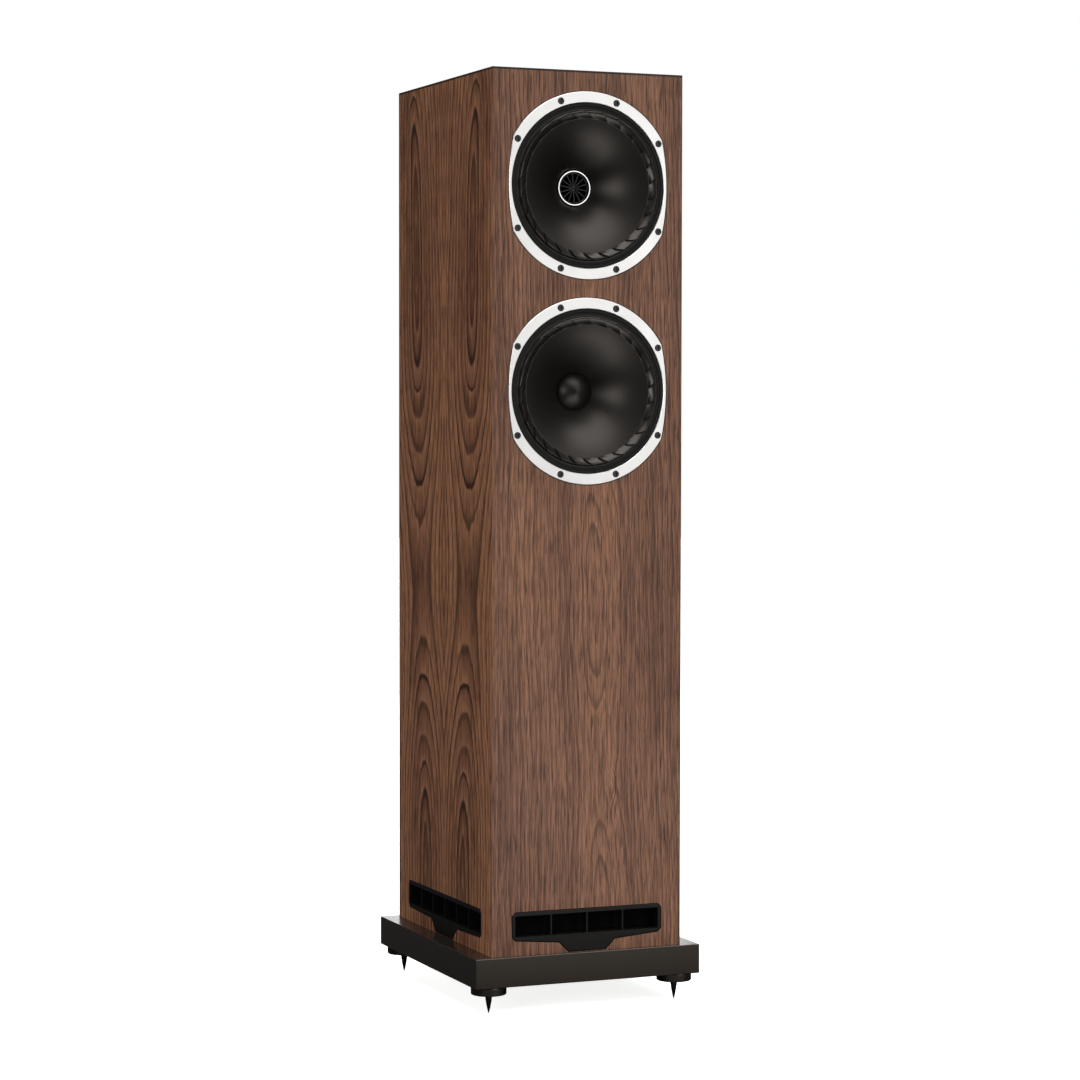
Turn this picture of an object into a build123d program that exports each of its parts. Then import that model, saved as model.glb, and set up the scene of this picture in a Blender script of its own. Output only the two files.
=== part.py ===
"""A two-way floorstanding loudspeaker on a spiked plinth.

Frame: X right, Y back, Z up, seen from the listener's side; the origin is on the floor, under the
middle of the speaker's outer box. The front baffle faces -Y. All sizes are in millimetres.
"""

from build123d import *
from math import cos, radians, sin, tan
import os

os.makedirs("parts", exist_ok=True)

# ---- driving dimensions -------------------------------------------------------------------------

# cabinet
cabinet_width = 250.0
cabinet_depth = 330.0
cabinet_height = 1071.0
wall = 20.0

# plinth and feet
plinth_width = 297.4
plinth_depth = 344.0
plinth_thickness = 36.2
wheel_diameter = 43.5
wheel_thickness = 10.0
spike_reach = 23.5
spike_diameter = 8.3
spike_travel = 5.0
foot_offset_x = 123.7
foot_inset_y = 21.75
running_gap = 0.05

# terminals behind the cabinet
post_reach = 24.0

# heights of the two drive units above the underside of the cabinet
upper_height_in_cabinet = 932.7
lower_height_in_cabinet = 683.8

# trim ring round each drive unit
ring_radius = 113.4
ring_half_width = 103.9
ring_side_radius = 268.0
ring_bore = 100.3
ring_proud = 0.6
flange_depth = 3.0
flange_thickness = 4.0
screw_circle = 107.0
screw_angles = (20, 60, 120, 160, 200, 240, 300, 340)

# moving system of each drive unit
cone_radius = 80.5
cone_rim_depth = 2.5
throat_radius = 22.5
throat_depth = 45.0
cone_flare = 5.8
roll_outer = 91.4

# floor-level vents
vent_top = 53.0
vent_bottom = 18.2
vent_corner = 4.5
vent_opening_low = 22.7
vent_opening_high = 48.1
vent_flange = 2.4
vent_rim = 4.0
shelf_height = 62.0

# ---- levels and places worked out from them -------------------------------------------------------

plinth_underside = spike_reach + wheel_thickness
cabinet_base = plinth_underside + plinth_thickness
cabinet_top = cabinet_base + cabinet_height

plinth_front = -(plinth_depth / 2 + cabinet_depth / 2 + post_reach) / 2
cabinet_middle = plinth_front + plinth_depth / 2
front_face = cabinet_middle - cabinet_depth / 2
rear_face = cabinet_middle + cabinet_depth / 2
inner_width = cabinet_width - 2 * wall
inner_depth = cabinet_depth - 2 * wall
inner_rear = rear_face - wall

upper_driver = cabinet_base + upper_height_in_cabinet
lower_driver = cabinet_base + lower_height_in_cabinet
driver_heights = (upper_driver, lower_driver)

shelf_underside = cabinet_base + shelf_height
shelf_top = shelf_underside + wall

foot_places = {
    "front_left": (-foot_offset_x, plinth_front + foot_inset_y),
    "front_right": (foot_offset_x, plinth_front + foot_inset_y),
    "rear_left": (-foot_offset_x, plinth_front + plinth_depth - foot_inset_y),
    "rear_right": (foot_offset_x, plinth_front + plinth_depth - foot_inset_y),
}


def save(builder, name):
    """Labels a finished piece and writes it as its own file."""
    builder.part.label = name
    export_step(builder.part, f"parts/{name}.step")


def wall_plane(point, inward):
    """A plane on an outer face: local X level, local Y straight up, local Z into the cabinet."""
    into = Vector(*inward)
    return Plane(origin=point, x_dir=Vector(0, 0, 1).cross(into), z_dir=into)


def driver_front(height, depth=0.0):
    """The plane of the front baffle at a drive unit's centre, moved into the cabinet by depth."""
    return wall_plane((0, front_face + depth, height), (0, 1, 0))


def driver_section(height):
    """The level plane through a drive unit's axis: local X is the radius, local Y is the depth."""
    return Plane(origin=(0, front_face, height))


def driver_axis(height):
    return Axis((0, front_face, height), (0, 1, 0))


def outline(plane, *points):
    """A closed straight-sided profile."""
    with BuildSketch(plane) as profile:
        with BuildLine():
            Polyline(*points, close=True)
        make_face()
    return profile.sketch


# ---- cabinet ----------------------------------------------------------------------------------
# Veneered boards, mitred to each other along the upright and top edges.

wall_faces = {
    "front": wall_plane((0, front_face, cabinet_base), (0, 1, 0)),
    "rear": wall_plane((0, rear_face, cabinet_base), (0, -1, 0)),
    "left": wall_plane((-cabinet_width / 2, cabinet_middle, cabinet_base), (1, 0, 0)),
    "right": wall_plane((cabinet_width / 2, cabinet_middle, cabinet_base), (-1, 0, 0)),
}
wall_widths = {
    "front": cabinet_width,
    "rear": cabinet_width,
    "left": cabinet_depth,
    "right": cabinet_depth,
}


def mitred_wall(side):
    """An upright board with mitred sides and top, and a square foot on the plinth."""
    board_height = cabinet_height + wall
    with BuildPart() as board:
        with BuildSketch(wall_faces[side]):
            with Locations((0, cabinet_height - board_height / 2)):
                Rectangle(wall_widths[side], board_height)
        extrude(amount=wall, taper=45)
        split(bisect_by=Plane.XY.offset(cabinet_base), keep=Keep.TOP)
    return board.part


# Vent frames, by wall: half the width of the frame, where its outline turns in towards the tongue
# (half width, height), the foot of the tongue (half width, height), and the number of cells.
vent_half_width = {"front": 99.0, "rear": 99.0, "left": 129.0, "right": 129.0}
vent_shoulder = {
    "front": (36.8, 13.4),
    "rear": (36.8, 13.4),
    "left": (45.0, 16.0),
    "right": (45.0, 16.0),
}
vent_foot = {"front": (24.5, 1.0), "rear": (24.5, 1.0), "left": (30.0, 0.6), "right": (30.0, 0.6)}
vent_cells = {"front": 4, "rear": 4, "left": 6, "right": 6}
vent_gap = 0.5
vent_sleeve = 1.2
vent_bar = 1.8
vent_bar_setback = 0.6
vent_bar_depth = 12.0
vent_edge = 0.8
vent_opening_middle = (vent_opening_low + vent_opening_high) / 2
vent_opening_tall = vent_opening_high - vent_opening_low


def vent_outline(side, grow=0.0):
    """The outside of a vent frame: a long slot with cut corners and a tongue down to the plinth."""
    half = vent_half_width[side] + grow
    shoulder, shoulder_height = vent_shoulder[side]
    foot, foot_height = vent_foot[side]
    corner = vent_corner + grow * tan(radians(22.5))
    top = vent_top + grow
    bottom = vent_bottom - grow
    right_side = [
        (half - corner, top),
        (half, top - corner),
        (half, bottom + corner),
        (half - corner, bottom),
        (shoulder + grow, shoulder_height - grow),
        (foot + grow, max(foot_height - grow, 0.0)),
    ]
    left_side = [(-x, y) for x, y in reversed(right_side)]
    return outline(wall_faces[side], *right_side, *left_side)


def vent_slot(side, grow=0.0):
    """The rectangle of a vent's opening, made larger all round by grow."""
    wide = 2 * (vent_half_width[side] - vent_rim + grow)
    with BuildSketch(wall_faces[side]) as slot:
        with Locations((0, vent_opening_middle)):
            Rectangle(wide, vent_opening_tall + 2 * grow)
    return slot.sketch


def ring_outline(plane, grow=0.0):
    """The trim ring's outside: a circle flattened on its left and right by two wide arcs."""
    side_centre = ring_side_radius - ring_half_width
    with BuildSketch(plane) as shape:
        Circle(ring_radius + grow)
        with Locations((-side_centre, 0)):
            Circle(ring_side_radius + grow, mode=Mode.INTERSECT)
        with Locations((side_centre, 0)):
            Circle(ring_side_radius + grow, mode=Mode.INTERSECT)
    return shape.sketch


def screw_spots():
    """The eight screw places on a drive unit's face, from the vertical."""
    return [(screw_circle * sin(radians(a)), screw_circle * cos(radians(a))) for a in screw_angles]


screw_shank = 2.0
screw_pilot = screw_shank + running_gap
basket_cutout = 98.5
rebate_gap = 0.9

# terminal plate: its outline, and the hole and screws behind it
terminal_centre = 150.0
terminal_wide = 120.0
terminal_tall = 80.0
terminal_corner = 6.0
terminal_thickness = 3.0
terminal_gap = 0.4
terminal_cutout_wide = 96.0
terminal_cutout_tall = 56.0
terminal_screw_wide = 104.0
terminal_screw_tall = 64.0
terminal_screw_radius = 1.5
terminal_screw_length = 14.0
terminal_pilot_depth = 15.0

for side in wall_faces:
    with BuildPart() as panel:
        add(mitred_wall(side))
        extrude(vent_outline(side, vent_gap), amount=vent_flange, mode=Mode.SUBTRACT)
        extrude(vent_slot(side, vent_sleeve + vent_gap), amount=wall, mode=Mode.SUBTRACT)
        if side == "front":
            for height in driver_heights:
                rebate = ring_outline(driver_front(height), rebate_gap)
                extrude(rebate, amount=flange_depth + flange_thickness, mode=Mode.SUBTRACT)
                with BuildSketch(driver_front(height)):
                    Circle(basket_cutout)
                extrude(amount=wall, mode=Mode.SUBTRACT)
                with BuildSketch(driver_front(height)):
                    with Locations(*screw_spots()):
                        Circle(screw_pilot)
                extrude(amount=wall, mode=Mode.SUBTRACT)
        if side == "rear":
            with BuildSketch(wall_faces["rear"]):
                with Locations((0, terminal_centre)):
                    RectangleRounded(
                        terminal_wide + 2 * terminal_gap,
                        terminal_tall + 2 * terminal_gap,
                        terminal_corner + terminal_gap,
                    )
            extrude(amount=terminal_thickness, mode=Mode.SUBTRACT)
            with BuildSketch(wall_faces["rear"]):
                with Locations((0, terminal_centre)):
                    Rectangle(terminal_cutout_wide, terminal_cutout_tall)
            extrude(amount=wall, mode=Mode.SUBTRACT)
            with BuildSketch(wall_faces["rear"]):
                with Locations((0, terminal_centre)):
                    with GridLocations(terminal_screw_wide, terminal_screw_tall, 2, 2):
                        Circle(terminal_screw_radius + running_gap)
            extrude(amount=terminal_pilot_depth, mode=Mode.SUBTRACT)
    save(panel, {"front": "front_baffle", "rear": "rear_panel"}.get(side, f"{side}_side_panel"))

top_face = Plane(origin=(0, cabinet_middle, cabinet_top), x_dir=(1, 0, 0), z_dir=(0, 0, -1))

with BuildPart() as top_panel:
    with BuildSketch(top_face):
        Rectangle(cabinet_width, cabinet_depth)
    extrude(amount=wall, taper=45)
save(top_panel, "top_panel")

plinth_bolt_x = 80.0
plinth_bolt_y = 120.0
plinth_bolt_places = [
    (x, cabinet_middle + y) for x in (-plinth_bolt_x, plinth_bolt_x) for y in (-plinth_bolt_y, plinth_bolt_y)
]
plinth_bolt_radius = 4.0

with BuildPart() as base_board:
    with BuildSketch(Plane.XY.offset(cabinet_base)):
        with Locations((0, cabinet_middle)):
            Rectangle(inner_width, inner_depth)
        with Locations(*plinth_bolt_places):
            Circle(plinth_bolt_radius + running_gap, mode=Mode.SUBTRACT)
    extrude(amount=wall)
save(base_board, "base_board")

# ---- bass port --------------------------------------------------------------------------------
# The port fires down through a shelf onto a flared cone, and the air leaves by the four vents.

port_bore = 37.5
port_outside = 40.5
bell_outside = 56.0
bell_mouth = 54.0
bell_flare = 22.0
port_length = 190.0
port_top_flare = 14.0
port_seat = 4.0

with BuildPart() as port_shelf:
    with BuildSketch(Plane.XY.offset(shelf_underside)):
        with Locations((0, cabinet_middle)):
            Rectangle(inner_width, inner_depth)
            Circle(bell_outside + running_gap, mode=Mode.SUBTRACT)
    extrude(amount=wall)
save(port_shelf, "port_shelf")

port_section = Plane(origin=(0, cabinet_middle, shelf_underside), x_dir=(1, 0, 0), z_dir=(0, -1, 0))
port_axis = Axis((0, cabinet_middle, 0), (0, 0, 1))

with BuildPart() as port_tube:
    with BuildSketch(port_section):
        with BuildLine():
            Polyline(
                (bell_mouth, 0),
                (bell_outside, 0),
                (bell_outside, wall),
                (bell_outside + port_seat, wall),
                (bell_outside + port_seat, wall + port_seat),
                (port_outside, wall + 2 * port_seat),
                (port_outside, port_length - port_top_flare),
            )
            RadiusArc(
                (port_outside, port_length - port_top_flare),
                (port_outside + port_top_flare, port_length),
                port_top_flare,
            )
            Line((port_outside + port_top_flare, port_length), (port_bore + port_top_flare, port_length))
            RadiusArc(
                (port_bore + port_top_flare, port_length),
                (port_bore, port_length - port_top_flare),
                -port_top_flare,
            )
            Line((port_bore, port_length - port_top_flare), (port_bore, bell_flare))
            TangentArc((port_bore, bell_flare), (bell_mouth, 0), tangent=(0, -1))
        make_face()
    revolve(axis=port_axis)
save(port_tube, "port_tube")

diffuser_radius = 64.0
diffuser_skirt = 2.5
diffuser_tip = 50.0
diffuser_tip_radius = 3.0
diffuser_waist = (19.8, 18.0)
diffuser_section = Plane(
    origin=(0, cabinet_middle, cabinet_base + wall), x_dir=(1, 0, 0), z_dir=(0, -1, 0)
)

with BuildPart() as port_diffuser:
    with BuildSketch(diffuser_section):
        with BuildLine():
            Polyline(
                (0, diffuser_tip),
                (0, 0),
                (diffuser_radius, 0),
                (diffuser_radius, diffuser_skirt),
            )
            ThreePointArc(
                (diffuser_radius, diffuser_skirt),
                diffuser_waist,
                (diffuser_tip_radius, diffuser_tip - diffuser_tip_radius),
            )
            Line((diffuser_tip_radius, diffuser_tip - diffuser_tip_radius), (0, diffuser_tip))
        make_face()
    revolve(axis=port_axis)
save(port_diffuser, "port_diffuser")

# Vent frames: a moulded flange let into the wall, a sleeve through it, and upright bars.

for side, cells in vent_cells.items():
    pitch = 2 * (vent_half_width[side] - vent_rim) / cells
    with BuildPart() as grille:
        extrude(vent_outline(side), amount=vent_flange)
        into_wall = Axis(wall_faces[side].origin, wall_faces[side].z_dir)
        chamfer(grille.faces().sort_by(into_wall)[0].edges(), vent_edge)
        extrude(vent_slot(side, vent_sleeve), amount=wall)
        extrude(vent_slot(side), amount=wall, mode=Mode.SUBTRACT)
        bar_plane = wall_faces[side].offset(vent_bar_setback)
        with BuildSketch(bar_plane):
            with Locations((0, vent_opening_middle)):
                with GridLocations(pitch, 0, cells - 1, 1):
                    Rectangle(vent_bar, vent_opening_tall)
        extrude(amount=vent_bar_depth)
    save(grille, f"{side}_vent_grille")

# ---- bracing and damping ------------------------------------------------------------------------

brace_thickness = 18.0
brace_levels = (cabinet_base + 470.0, cabinet_base + 799.5)
brace_rib = 24.0
brace_rim = 20.0
window_corner = 12.0
window_wide = (inner_width - 2 * brace_rim - brace_rib) / 2
window_deep = (inner_depth - 2 * brace_rim - brace_rib) / 2

with BuildPart() as window_braces:
    for level in brace_levels:
        with BuildSketch(Plane.XY.offset(level)):
            with Locations((0, cabinet_middle)):
                Rectangle(inner_width, inner_depth)
                with GridLocations(window_wide + brace_rib, window_deep + brace_rib, 2, 2):
                    RectangleRounded(window_wide, window_deep, window_corner, mode=Mode.SUBTRACT)
        extrude(amount=brace_thickness)
save(window_braces, "window_braces")

wadding_width = 196.0
wadding_thickness = 34.0
wadding_corner = 10.0
wadding_clearance = 12.0
wadding_low = brace_levels[0] + brace_thickness + wadding_clearance
wadding_high = brace_levels[1] - wadding_clearance

with BuildPart() as damping_wadding:
    with BuildSketch(Plane.XY.offset(wadding_low)):
        with Locations((0, inner_rear - wadding_thickness / 2)):
            Rectangle(wadding_width, wadding_thickness)
    extrude(amount=wadding_high - wadding_low)
    fillet(damping_wadding.edges().filter_by(Axis.Z), wadding_corner)
save(damping_wadding, "damping_wadding")

# ---- plinth and feet -----------------------------------------------------------------------------
# Each foot is a wheel that turns under the plinth on a threaded, keyed spike: turning the wheel
# raises or lowers the spike.

hub_radius = 10.0
hub_height = 8.0
bush_radius = 8.0
bush_length = 26.0
key_flat = 3.4
spike_radius = spike_diameter / 2
spike_rod_top = plinth_underside + 26.0
spike_shoulder = 4.0
spike_flare = 120.0
spike_tip_radius = 0.4
wheel_edge = 0.8
plinth_edge = 0.6
flat_cutter = 4.0

bolt_recess_radius = 8.5
bolt_recess_depth = 12.0
bolt_head_radius = 6.5
bolt_head_height = 8.0
bolt_socket_radius = 3.4
bolt_socket_depth = 5.0
bolt_tip_below_board = 4.0

with BuildPart() as plinth:
    with BuildSketch(Plane.XY.offset(plinth_underside)):
        with Locations((0, cabinet_middle)):
            Rectangle(plinth_width, plinth_depth)
    extrude(amount=plinth_thickness)
    chamfer(plinth.edges(), plinth_edge)
    with BuildSketch(Plane.XY.offset(plinth_underside)):
        with Locations(*foot_places.values()):
            Circle(hub_radius + running_gap)
    extrude(amount=hub_height, mode=Mode.SUBTRACT)
    with BuildSketch(Plane.XY.offset(plinth_underside + hub_height)):
        with Locations(*foot_places.values()):
            Circle(bush_radius)
    extrude(amount=bush_length, mode=Mode.SUBTRACT)
    with BuildSketch(Plane.XY.offset(plinth_underside)):
        with Locations(*plinth_bolt_places):
            Circle(plinth_bolt_radius + running_gap)
    extrude(amount=plinth_thickness, mode=Mode.SUBTRACT)
    with BuildSketch(Plane.XY.offset(plinth_underside)):
        with Locations(*plinth_bolt_places):
            Circle(bolt_recess_radius)
    extrude(amount=bolt_recess_depth, mode=Mode.SUBTRACT)
save(plinth, "plinth")

bolt_head_top = plinth_underside + bolt_recess_depth
bolt_head_low = bolt_head_top - bolt_head_height
bolt_tip = cabinet_base + wall - bolt_tip_below_board

with BuildPart() as plinth_bolts:
    for x, y in plinth_bolt_places:
        with BuildSketch(Plane(origin=(x, y, bolt_head_low))):
            Circle(bolt_head_radius)
            RegularPolygon(bolt_socket_radius, 6, mode=Mode.SUBTRACT)
        extrude(amount=bolt_socket_depth)
        with BuildSketch(Plane(origin=(x, y, bolt_head_low + bolt_socket_depth))):
            Circle(bolt_head_radius)
        extrude(amount=bolt_head_height - bolt_socket_depth)
        with BuildSketch(Plane(origin=(x, y, bolt_head_top))):
            Circle(plinth_bolt_radius)
        extrude(amount=bolt_tip - bolt_head_top)
save(plinth_bolts, "plinth_bolts")

with BuildPart() as foot_bushes:
    for x, y in foot_places.values():
        with BuildSketch(Plane(origin=(x, y, plinth_underside + hub_height))):
            Circle(bush_radius)
            with BuildSketch(mode=Mode.PRIVATE) as keyed_bore:
                Circle(spike_radius + running_gap)
                with Locations((key_flat + running_gap + flat_cutter / 2, 0)):
                    Rectangle(flat_cutter, 2 * bush_radius, mode=Mode.SUBTRACT)
            add(keyed_bore.sketch, mode=Mode.SUBTRACT)
        extrude(amount=bush_length)
save(foot_bushes, "foot_bushes")

for place, (x, y) in foot_places.items():
    with BuildPart() as foot_wheel:
        with BuildSketch(Plane(origin=(x, y, spike_reach))):
            Circle(wheel_diameter / 2)
        extrude(amount=wheel_thickness)
        chamfer(foot_wheel.edges(), wheel_edge)
        with BuildSketch(Plane(origin=(x, y, spike_reach + wheel_thickness))):
            Circle(hub_radius)
        extrude(amount=hub_height)
        with BuildSketch(Plane(origin=(x, y, spike_reach))):
            Circle(spike_radius + running_gap)
        extrude(amount=wheel_thickness + hub_height, mode=Mode.SUBTRACT)
    save(foot_wheel, f"foot_wheel_{place}")

    spike_section = Plane(origin=(x, y, 0), x_dir=(1, 0, 0), z_dir=(0, -1, 0))
    with BuildPart() as foot_spike:
        with BuildSketch(spike_section):
            with BuildLine():
                Polyline(
                    (0, 0),
                    (0, spike_rod_top),
                    (spike_radius, spike_rod_top),
                    (spike_radius, spike_reach - spike_shoulder),
                )
                RadiusArc((spike_radius, spike_reach - spike_shoulder), (spike_tip_radius, 0), spike_flare)
                Line((spike_tip_radius, 0), (0, 0))
            make_face()
        revolve(axis=Axis((x, y, 0), (0, 0, 1)))
        flat_start = plinth_underside + hub_height - spike_travel - 1
        with BuildSketch(Plane(origin=(x, y, flat_start))):
            with Locations((key_flat + flat_cutter / 2, 0)):
                Rectangle(flat_cutter, 2 * spike_diameter)
        extrude(amount=spike_rod_top - flat_start, mode=Mode.SUBTRACT)
    save(foot_spike, f"foot_spike_{place}")

# ---- drive units: fixed pieces ------------------------------------------------------------------
# Profiles below are (radius, depth behind the front baffle's face).

plate_depth = 70.0
plate_thickness = 8.0
magnet_depth = plate_depth + plate_thickness
magnet_thickness = 18.0
yoke_depth = magnet_depth + magnet_thickness
yoke_thickness = 8.0
yoke_back = yoke_depth + yoke_thickness
pole_radius = 21.4
pole_front = 68.0
gap_radius = 24.2
top_plate_radius = 58.0
magnet_radius = 66.0
magnet_bore = 33.0
magnet_edge = 1.0
screw_head_radius = 4.0
screw_head_recess = 4.3
screw_head_height = 2.4
screw_head_proud = 0.1
screw_head_edge = 0.5
screw_socket_radius = 2.0
screw_socket_depth = 1.5
screw_clearance = 2.3
screw_end = 19.0

gasket_outer = 99.8
gasket_inner = 92.6
surround_land = 2.0
basket_throat = 92.5
basket_lip = flange_depth + flange_thickness - 1
basket_outline = (
    (basket_throat, basket_lip),
    (basket_throat, 16),
    (64.2, 57),
    (57, 57),
    (57, 60),
    (62.1, 60),
    (58, 66),
    (30, 66),
    (30, plate_depth),
    (60.5, plate_depth),
    (96.5, 17.8),
    (96.5, basket_lip),
)
flange_gap = 0.4
basket_windows = 6
window_front = 22.0
window_depth = 30.0
window_start = -68
window_end = -22
window_far = 100.0
window_near = 67.5

ring_edge = 0.5

roll_inner = cone_radius + 0.7
roll_middle = (roll_outer + roll_inner) / 2
roll_radius = (roll_outer - roll_inner) / 2
roll_skin = 0.9
roll_base = flange_depth - 0.5
bead_back = flange_depth + 0.5

spider_face = 56.4
spider_skin = 0.6
spider_outer = 62.0
wave_start = 26.0
wave_half = 2.5
wave_tall = 1.2
wave_count = 12
wave_end = wave_start + wave_count * wave_half

yoke_bores = {"upper": 19.45, "lower": 9.0}
yoke_radius = 60.0

# the cone's profile bows forwards from the chord between its rim and its throat
cone_drop = throat_depth - cone_rim_depth
cone_run = cone_radius - throat_radius
chord = (cone_run**2 + cone_drop**2) ** 0.5
flare_point = (
    (cone_radius + throat_radius) / 2 - cone_flare * cone_drop / chord,
    (cone_rim_depth + throat_depth) / 2 - cone_flare * cone_run / chord,
)
cone_skin = 0.9
cone_neck = 5.0

coil_bore = 22.1
coil_outline = (
    (coil_bore, throat_depth),
    (throat_radius, throat_depth),
    (throat_radius, 66),
    (23.3, 66),
    (23.3, 81),
    (coil_bore, 81),
)


def arc_point(radius, angle):
    return (radius * cos(radians(angle)), radius * sin(radians(angle)))


for place, height in (("upper", upper_driver), ("lower", lower_driver)):
    with BuildPart() as trim_ring:
        extrude(ring_outline(driver_front(height, -ring_proud)), amount=ring_proud + flange_depth)
        with BuildSketch(driver_front(height, -ring_proud)):
            Circle(ring_bore)
        extrude(amount=ring_proud + flange_depth, mode=Mode.SUBTRACT)
        chamfer(trim_ring.faces().sort_by(Axis.Y)[0].edges(), ring_edge)
        with BuildSketch(driver_front(height, -ring_proud)):
            with Locations(*screw_spots()):
                Circle(screw_head_recess)
        extrude(amount=screw_head_height, mode=Mode.SUBTRACT)
        with BuildSketch(driver_front(height, -ring_proud)):
            with Locations(*screw_spots()):
                Circle(screw_clearance)
        extrude(amount=ring_proud + flange_depth, mode=Mode.SUBTRACT)
    save(trim_ring, f"{place}_trim_ring")

    with BuildPart() as basket:
        revolve(outline(driver_section(height), *basket_outline), axis=driver_axis(height))
        extrude(ring_outline(driver_front(height, flange_depth), -flange_gap), amount=flange_thickness)
        with BuildSketch(driver_front(height, flange_depth)):
            Circle(basket_throat)
        extrude(amount=flange_thickness, mode=Mode.SUBTRACT)
        with BuildSketch(driver_front(height, flange_depth)):
            with Locations(*screw_spots()):
                Circle(screw_clearance)
        extrude(amount=flange_thickness, mode=Mode.SUBTRACT)
        # the windows leave a spoke between each two, one of them straight down
        with BuildSketch(driver_front(height, window_front)):
            for window in range(basket_windows):
                start = 360 / basket_windows * window + window_start
                end = 360 / basket_windows * window + window_end
                middle = (start + end) / 2
                with BuildLine():
                    Line(arc_point(window_near, start), arc_point(window_far, start))
                    ThreePointArc(
                        arc_point(window_far, start),
                        arc_point(window_far, middle),
                        arc_point(window_far, end),
                    )
                    Line(arc_point(window_far, end), arc_point(window_near, end))
                    ThreePointArc(
                        arc_point(window_near, end),
                        arc_point(window_near, middle),
                        arc_point(window_near, start),
                    )
                make_face()
        extrude(amount=window_depth, mode=Mode.SUBTRACT)
    save(basket, f"{place}_basket")

    # half-roll rubber surround: an outer land on the basket, a roll, and a bead on the cone's rim
    with BuildPart() as surround:
        with BuildSketch(driver_section(height)):
            with BuildLine():
                Polyline(
                    (roll_inner, surround_land),
                    (cone_radius, surround_land),
                    (cone_radius, bead_back),
                    (roll_inner + roll_skin, bead_back),
                    (roll_inner + roll_skin, roll_base),
                )
                ThreePointArc(
                    (roll_inner + roll_skin, roll_base),
                    (roll_middle, roll_base - roll_radius + roll_skin),
                    (roll_outer - roll_skin, roll_base),
                )
                Polyline(
                    (roll_outer - roll_skin, roll_base),
                    (roll_outer - roll_skin, flange_depth),
                    (gasket_outer, flange_depth),
                    (gasket_outer, surround_land),
                    (roll_outer, surround_land),
                )
                ThreePointArc(
                    (roll_outer, surround_land),
                    (roll_middle, surround_land - roll_radius),
                    (roll_inner, surround_land),
                )
            make_face()
        revolve(axis=driver_axis(height))
    save(surround, f"{place}_surround")

    # corrugated cloth spider behind the cone
    with BuildPart() as spider:
        with BuildSketch(driver_section(height)):
            with BuildLine():
                for skin in (0, spider_skin):
                    depth = spider_face + skin
                    Line((throat_radius, depth), (wave_start, depth))
                    for step in range(wave_count):
                        inner = wave_start + step * wave_half
                        swell = wave_tall if step % 2 else -wave_tall
                        ThreePointArc(
                            (inner, depth),
                            (inner + wave_half / 2, depth + swell),
                            (inner + wave_half, depth),
                        )
                    Line((wave_end, depth), (spider_outer, depth))
                Line((throat_radius, spider_face), (throat_radius, spider_face + spider_skin))
                Line((spider_outer, spider_face), (spider_outer, spider_face + spider_skin))
            make_face()
        revolve(axis=driver_axis(height))
    save(spider, f"{place}_spider")

    # steel yoke: a back plate with the pole piece that stands inside the voice coil
    yoke_bore = yoke_bores[place]
    yoke_outline = (
        (yoke_bore, pole_front),
        (pole_radius, pole_front),
        (pole_radius, yoke_depth),
        (yoke_radius, yoke_depth),
        (yoke_radius, yoke_back),
        (yoke_bore, yoke_back),
    )
    with BuildPart() as back_plate:
        revolve(outline(driver_section(height), *yoke_outline), axis=driver_axis(height))
    save(back_plate, f"{place}_back_plate")

    # paper cone with a flared profile and a short neck round the voice coil
    with BuildPart() as cone:
        with BuildSketch(driver_section(height)):
            with BuildLine():
                ThreePointArc((cone_radius, cone_rim_depth), flare_point, (throat_radius, throat_depth))
                Polyline(
                    (throat_radius, throat_depth),
                    (throat_radius, throat_depth + cone_neck),
                    (throat_radius + cone_skin, throat_depth + cone_neck),
                    (throat_radius + cone_skin, throat_depth + 1),
                )
                ThreePointArc(
                    (throat_radius + cone_skin, throat_depth + 1),
                    (flare_point[0] + 0.6, flare_point[1] + 0.8),
                    (cone_radius, cone_rim_depth + cone_skin),
                )
                Line((cone_radius, cone_rim_depth + cone_skin), (cone_radius, cone_rim_depth))
            make_face()
        revolve(axis=driver_axis(height))
    save(cone, f"{place}_cone")

    with BuildPart() as voice_coil:
        revolve(outline(driver_section(height), *coil_outline), axis=driver_axis(height))
    save(voice_coil, f"{place}_voice_coil")

# Pieces that are the same in both drive units are one group each.

with BuildPart() as driver_gaskets:
    gasket_outline = (
        (gasket_inner, 1.3),
        (gasket_inner + 3.2, 1.3),
        (gasket_inner + 3.6, 0.5),
        (gasket_outer, 0.5),
        (gasket_outer, surround_land),
        (gasket_inner, surround_land),
    )
    for height in driver_heights:
        revolve(outline(driver_section(height), *gasket_outline), axis=driver_axis(height))
save(driver_gaskets, "driver_gaskets")

with BuildPart() as driver_top_plates:
    for height in driver_heights:
        with BuildSketch(driver_front(height, plate_depth)):
            Circle(top_plate_radius)
            Circle(gap_radius, mode=Mode.SUBTRACT)
        extrude(amount=plate_thickness)
save(driver_top_plates, "driver_top_plates")

with BuildPart() as driver_magnets:
    for height in driver_heights:
        with BuildSketch(driver_front(height, magnet_depth)):
            Circle(magnet_radius)
            Circle(magnet_bore, mode=Mode.SUBTRACT)
        extrude(amount=magnet_thickness)
    chamfer(driver_magnets.edges().filter_by(GeomType.CIRCLE), magnet_edge)
save(driver_magnets, "driver_magnets")

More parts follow.
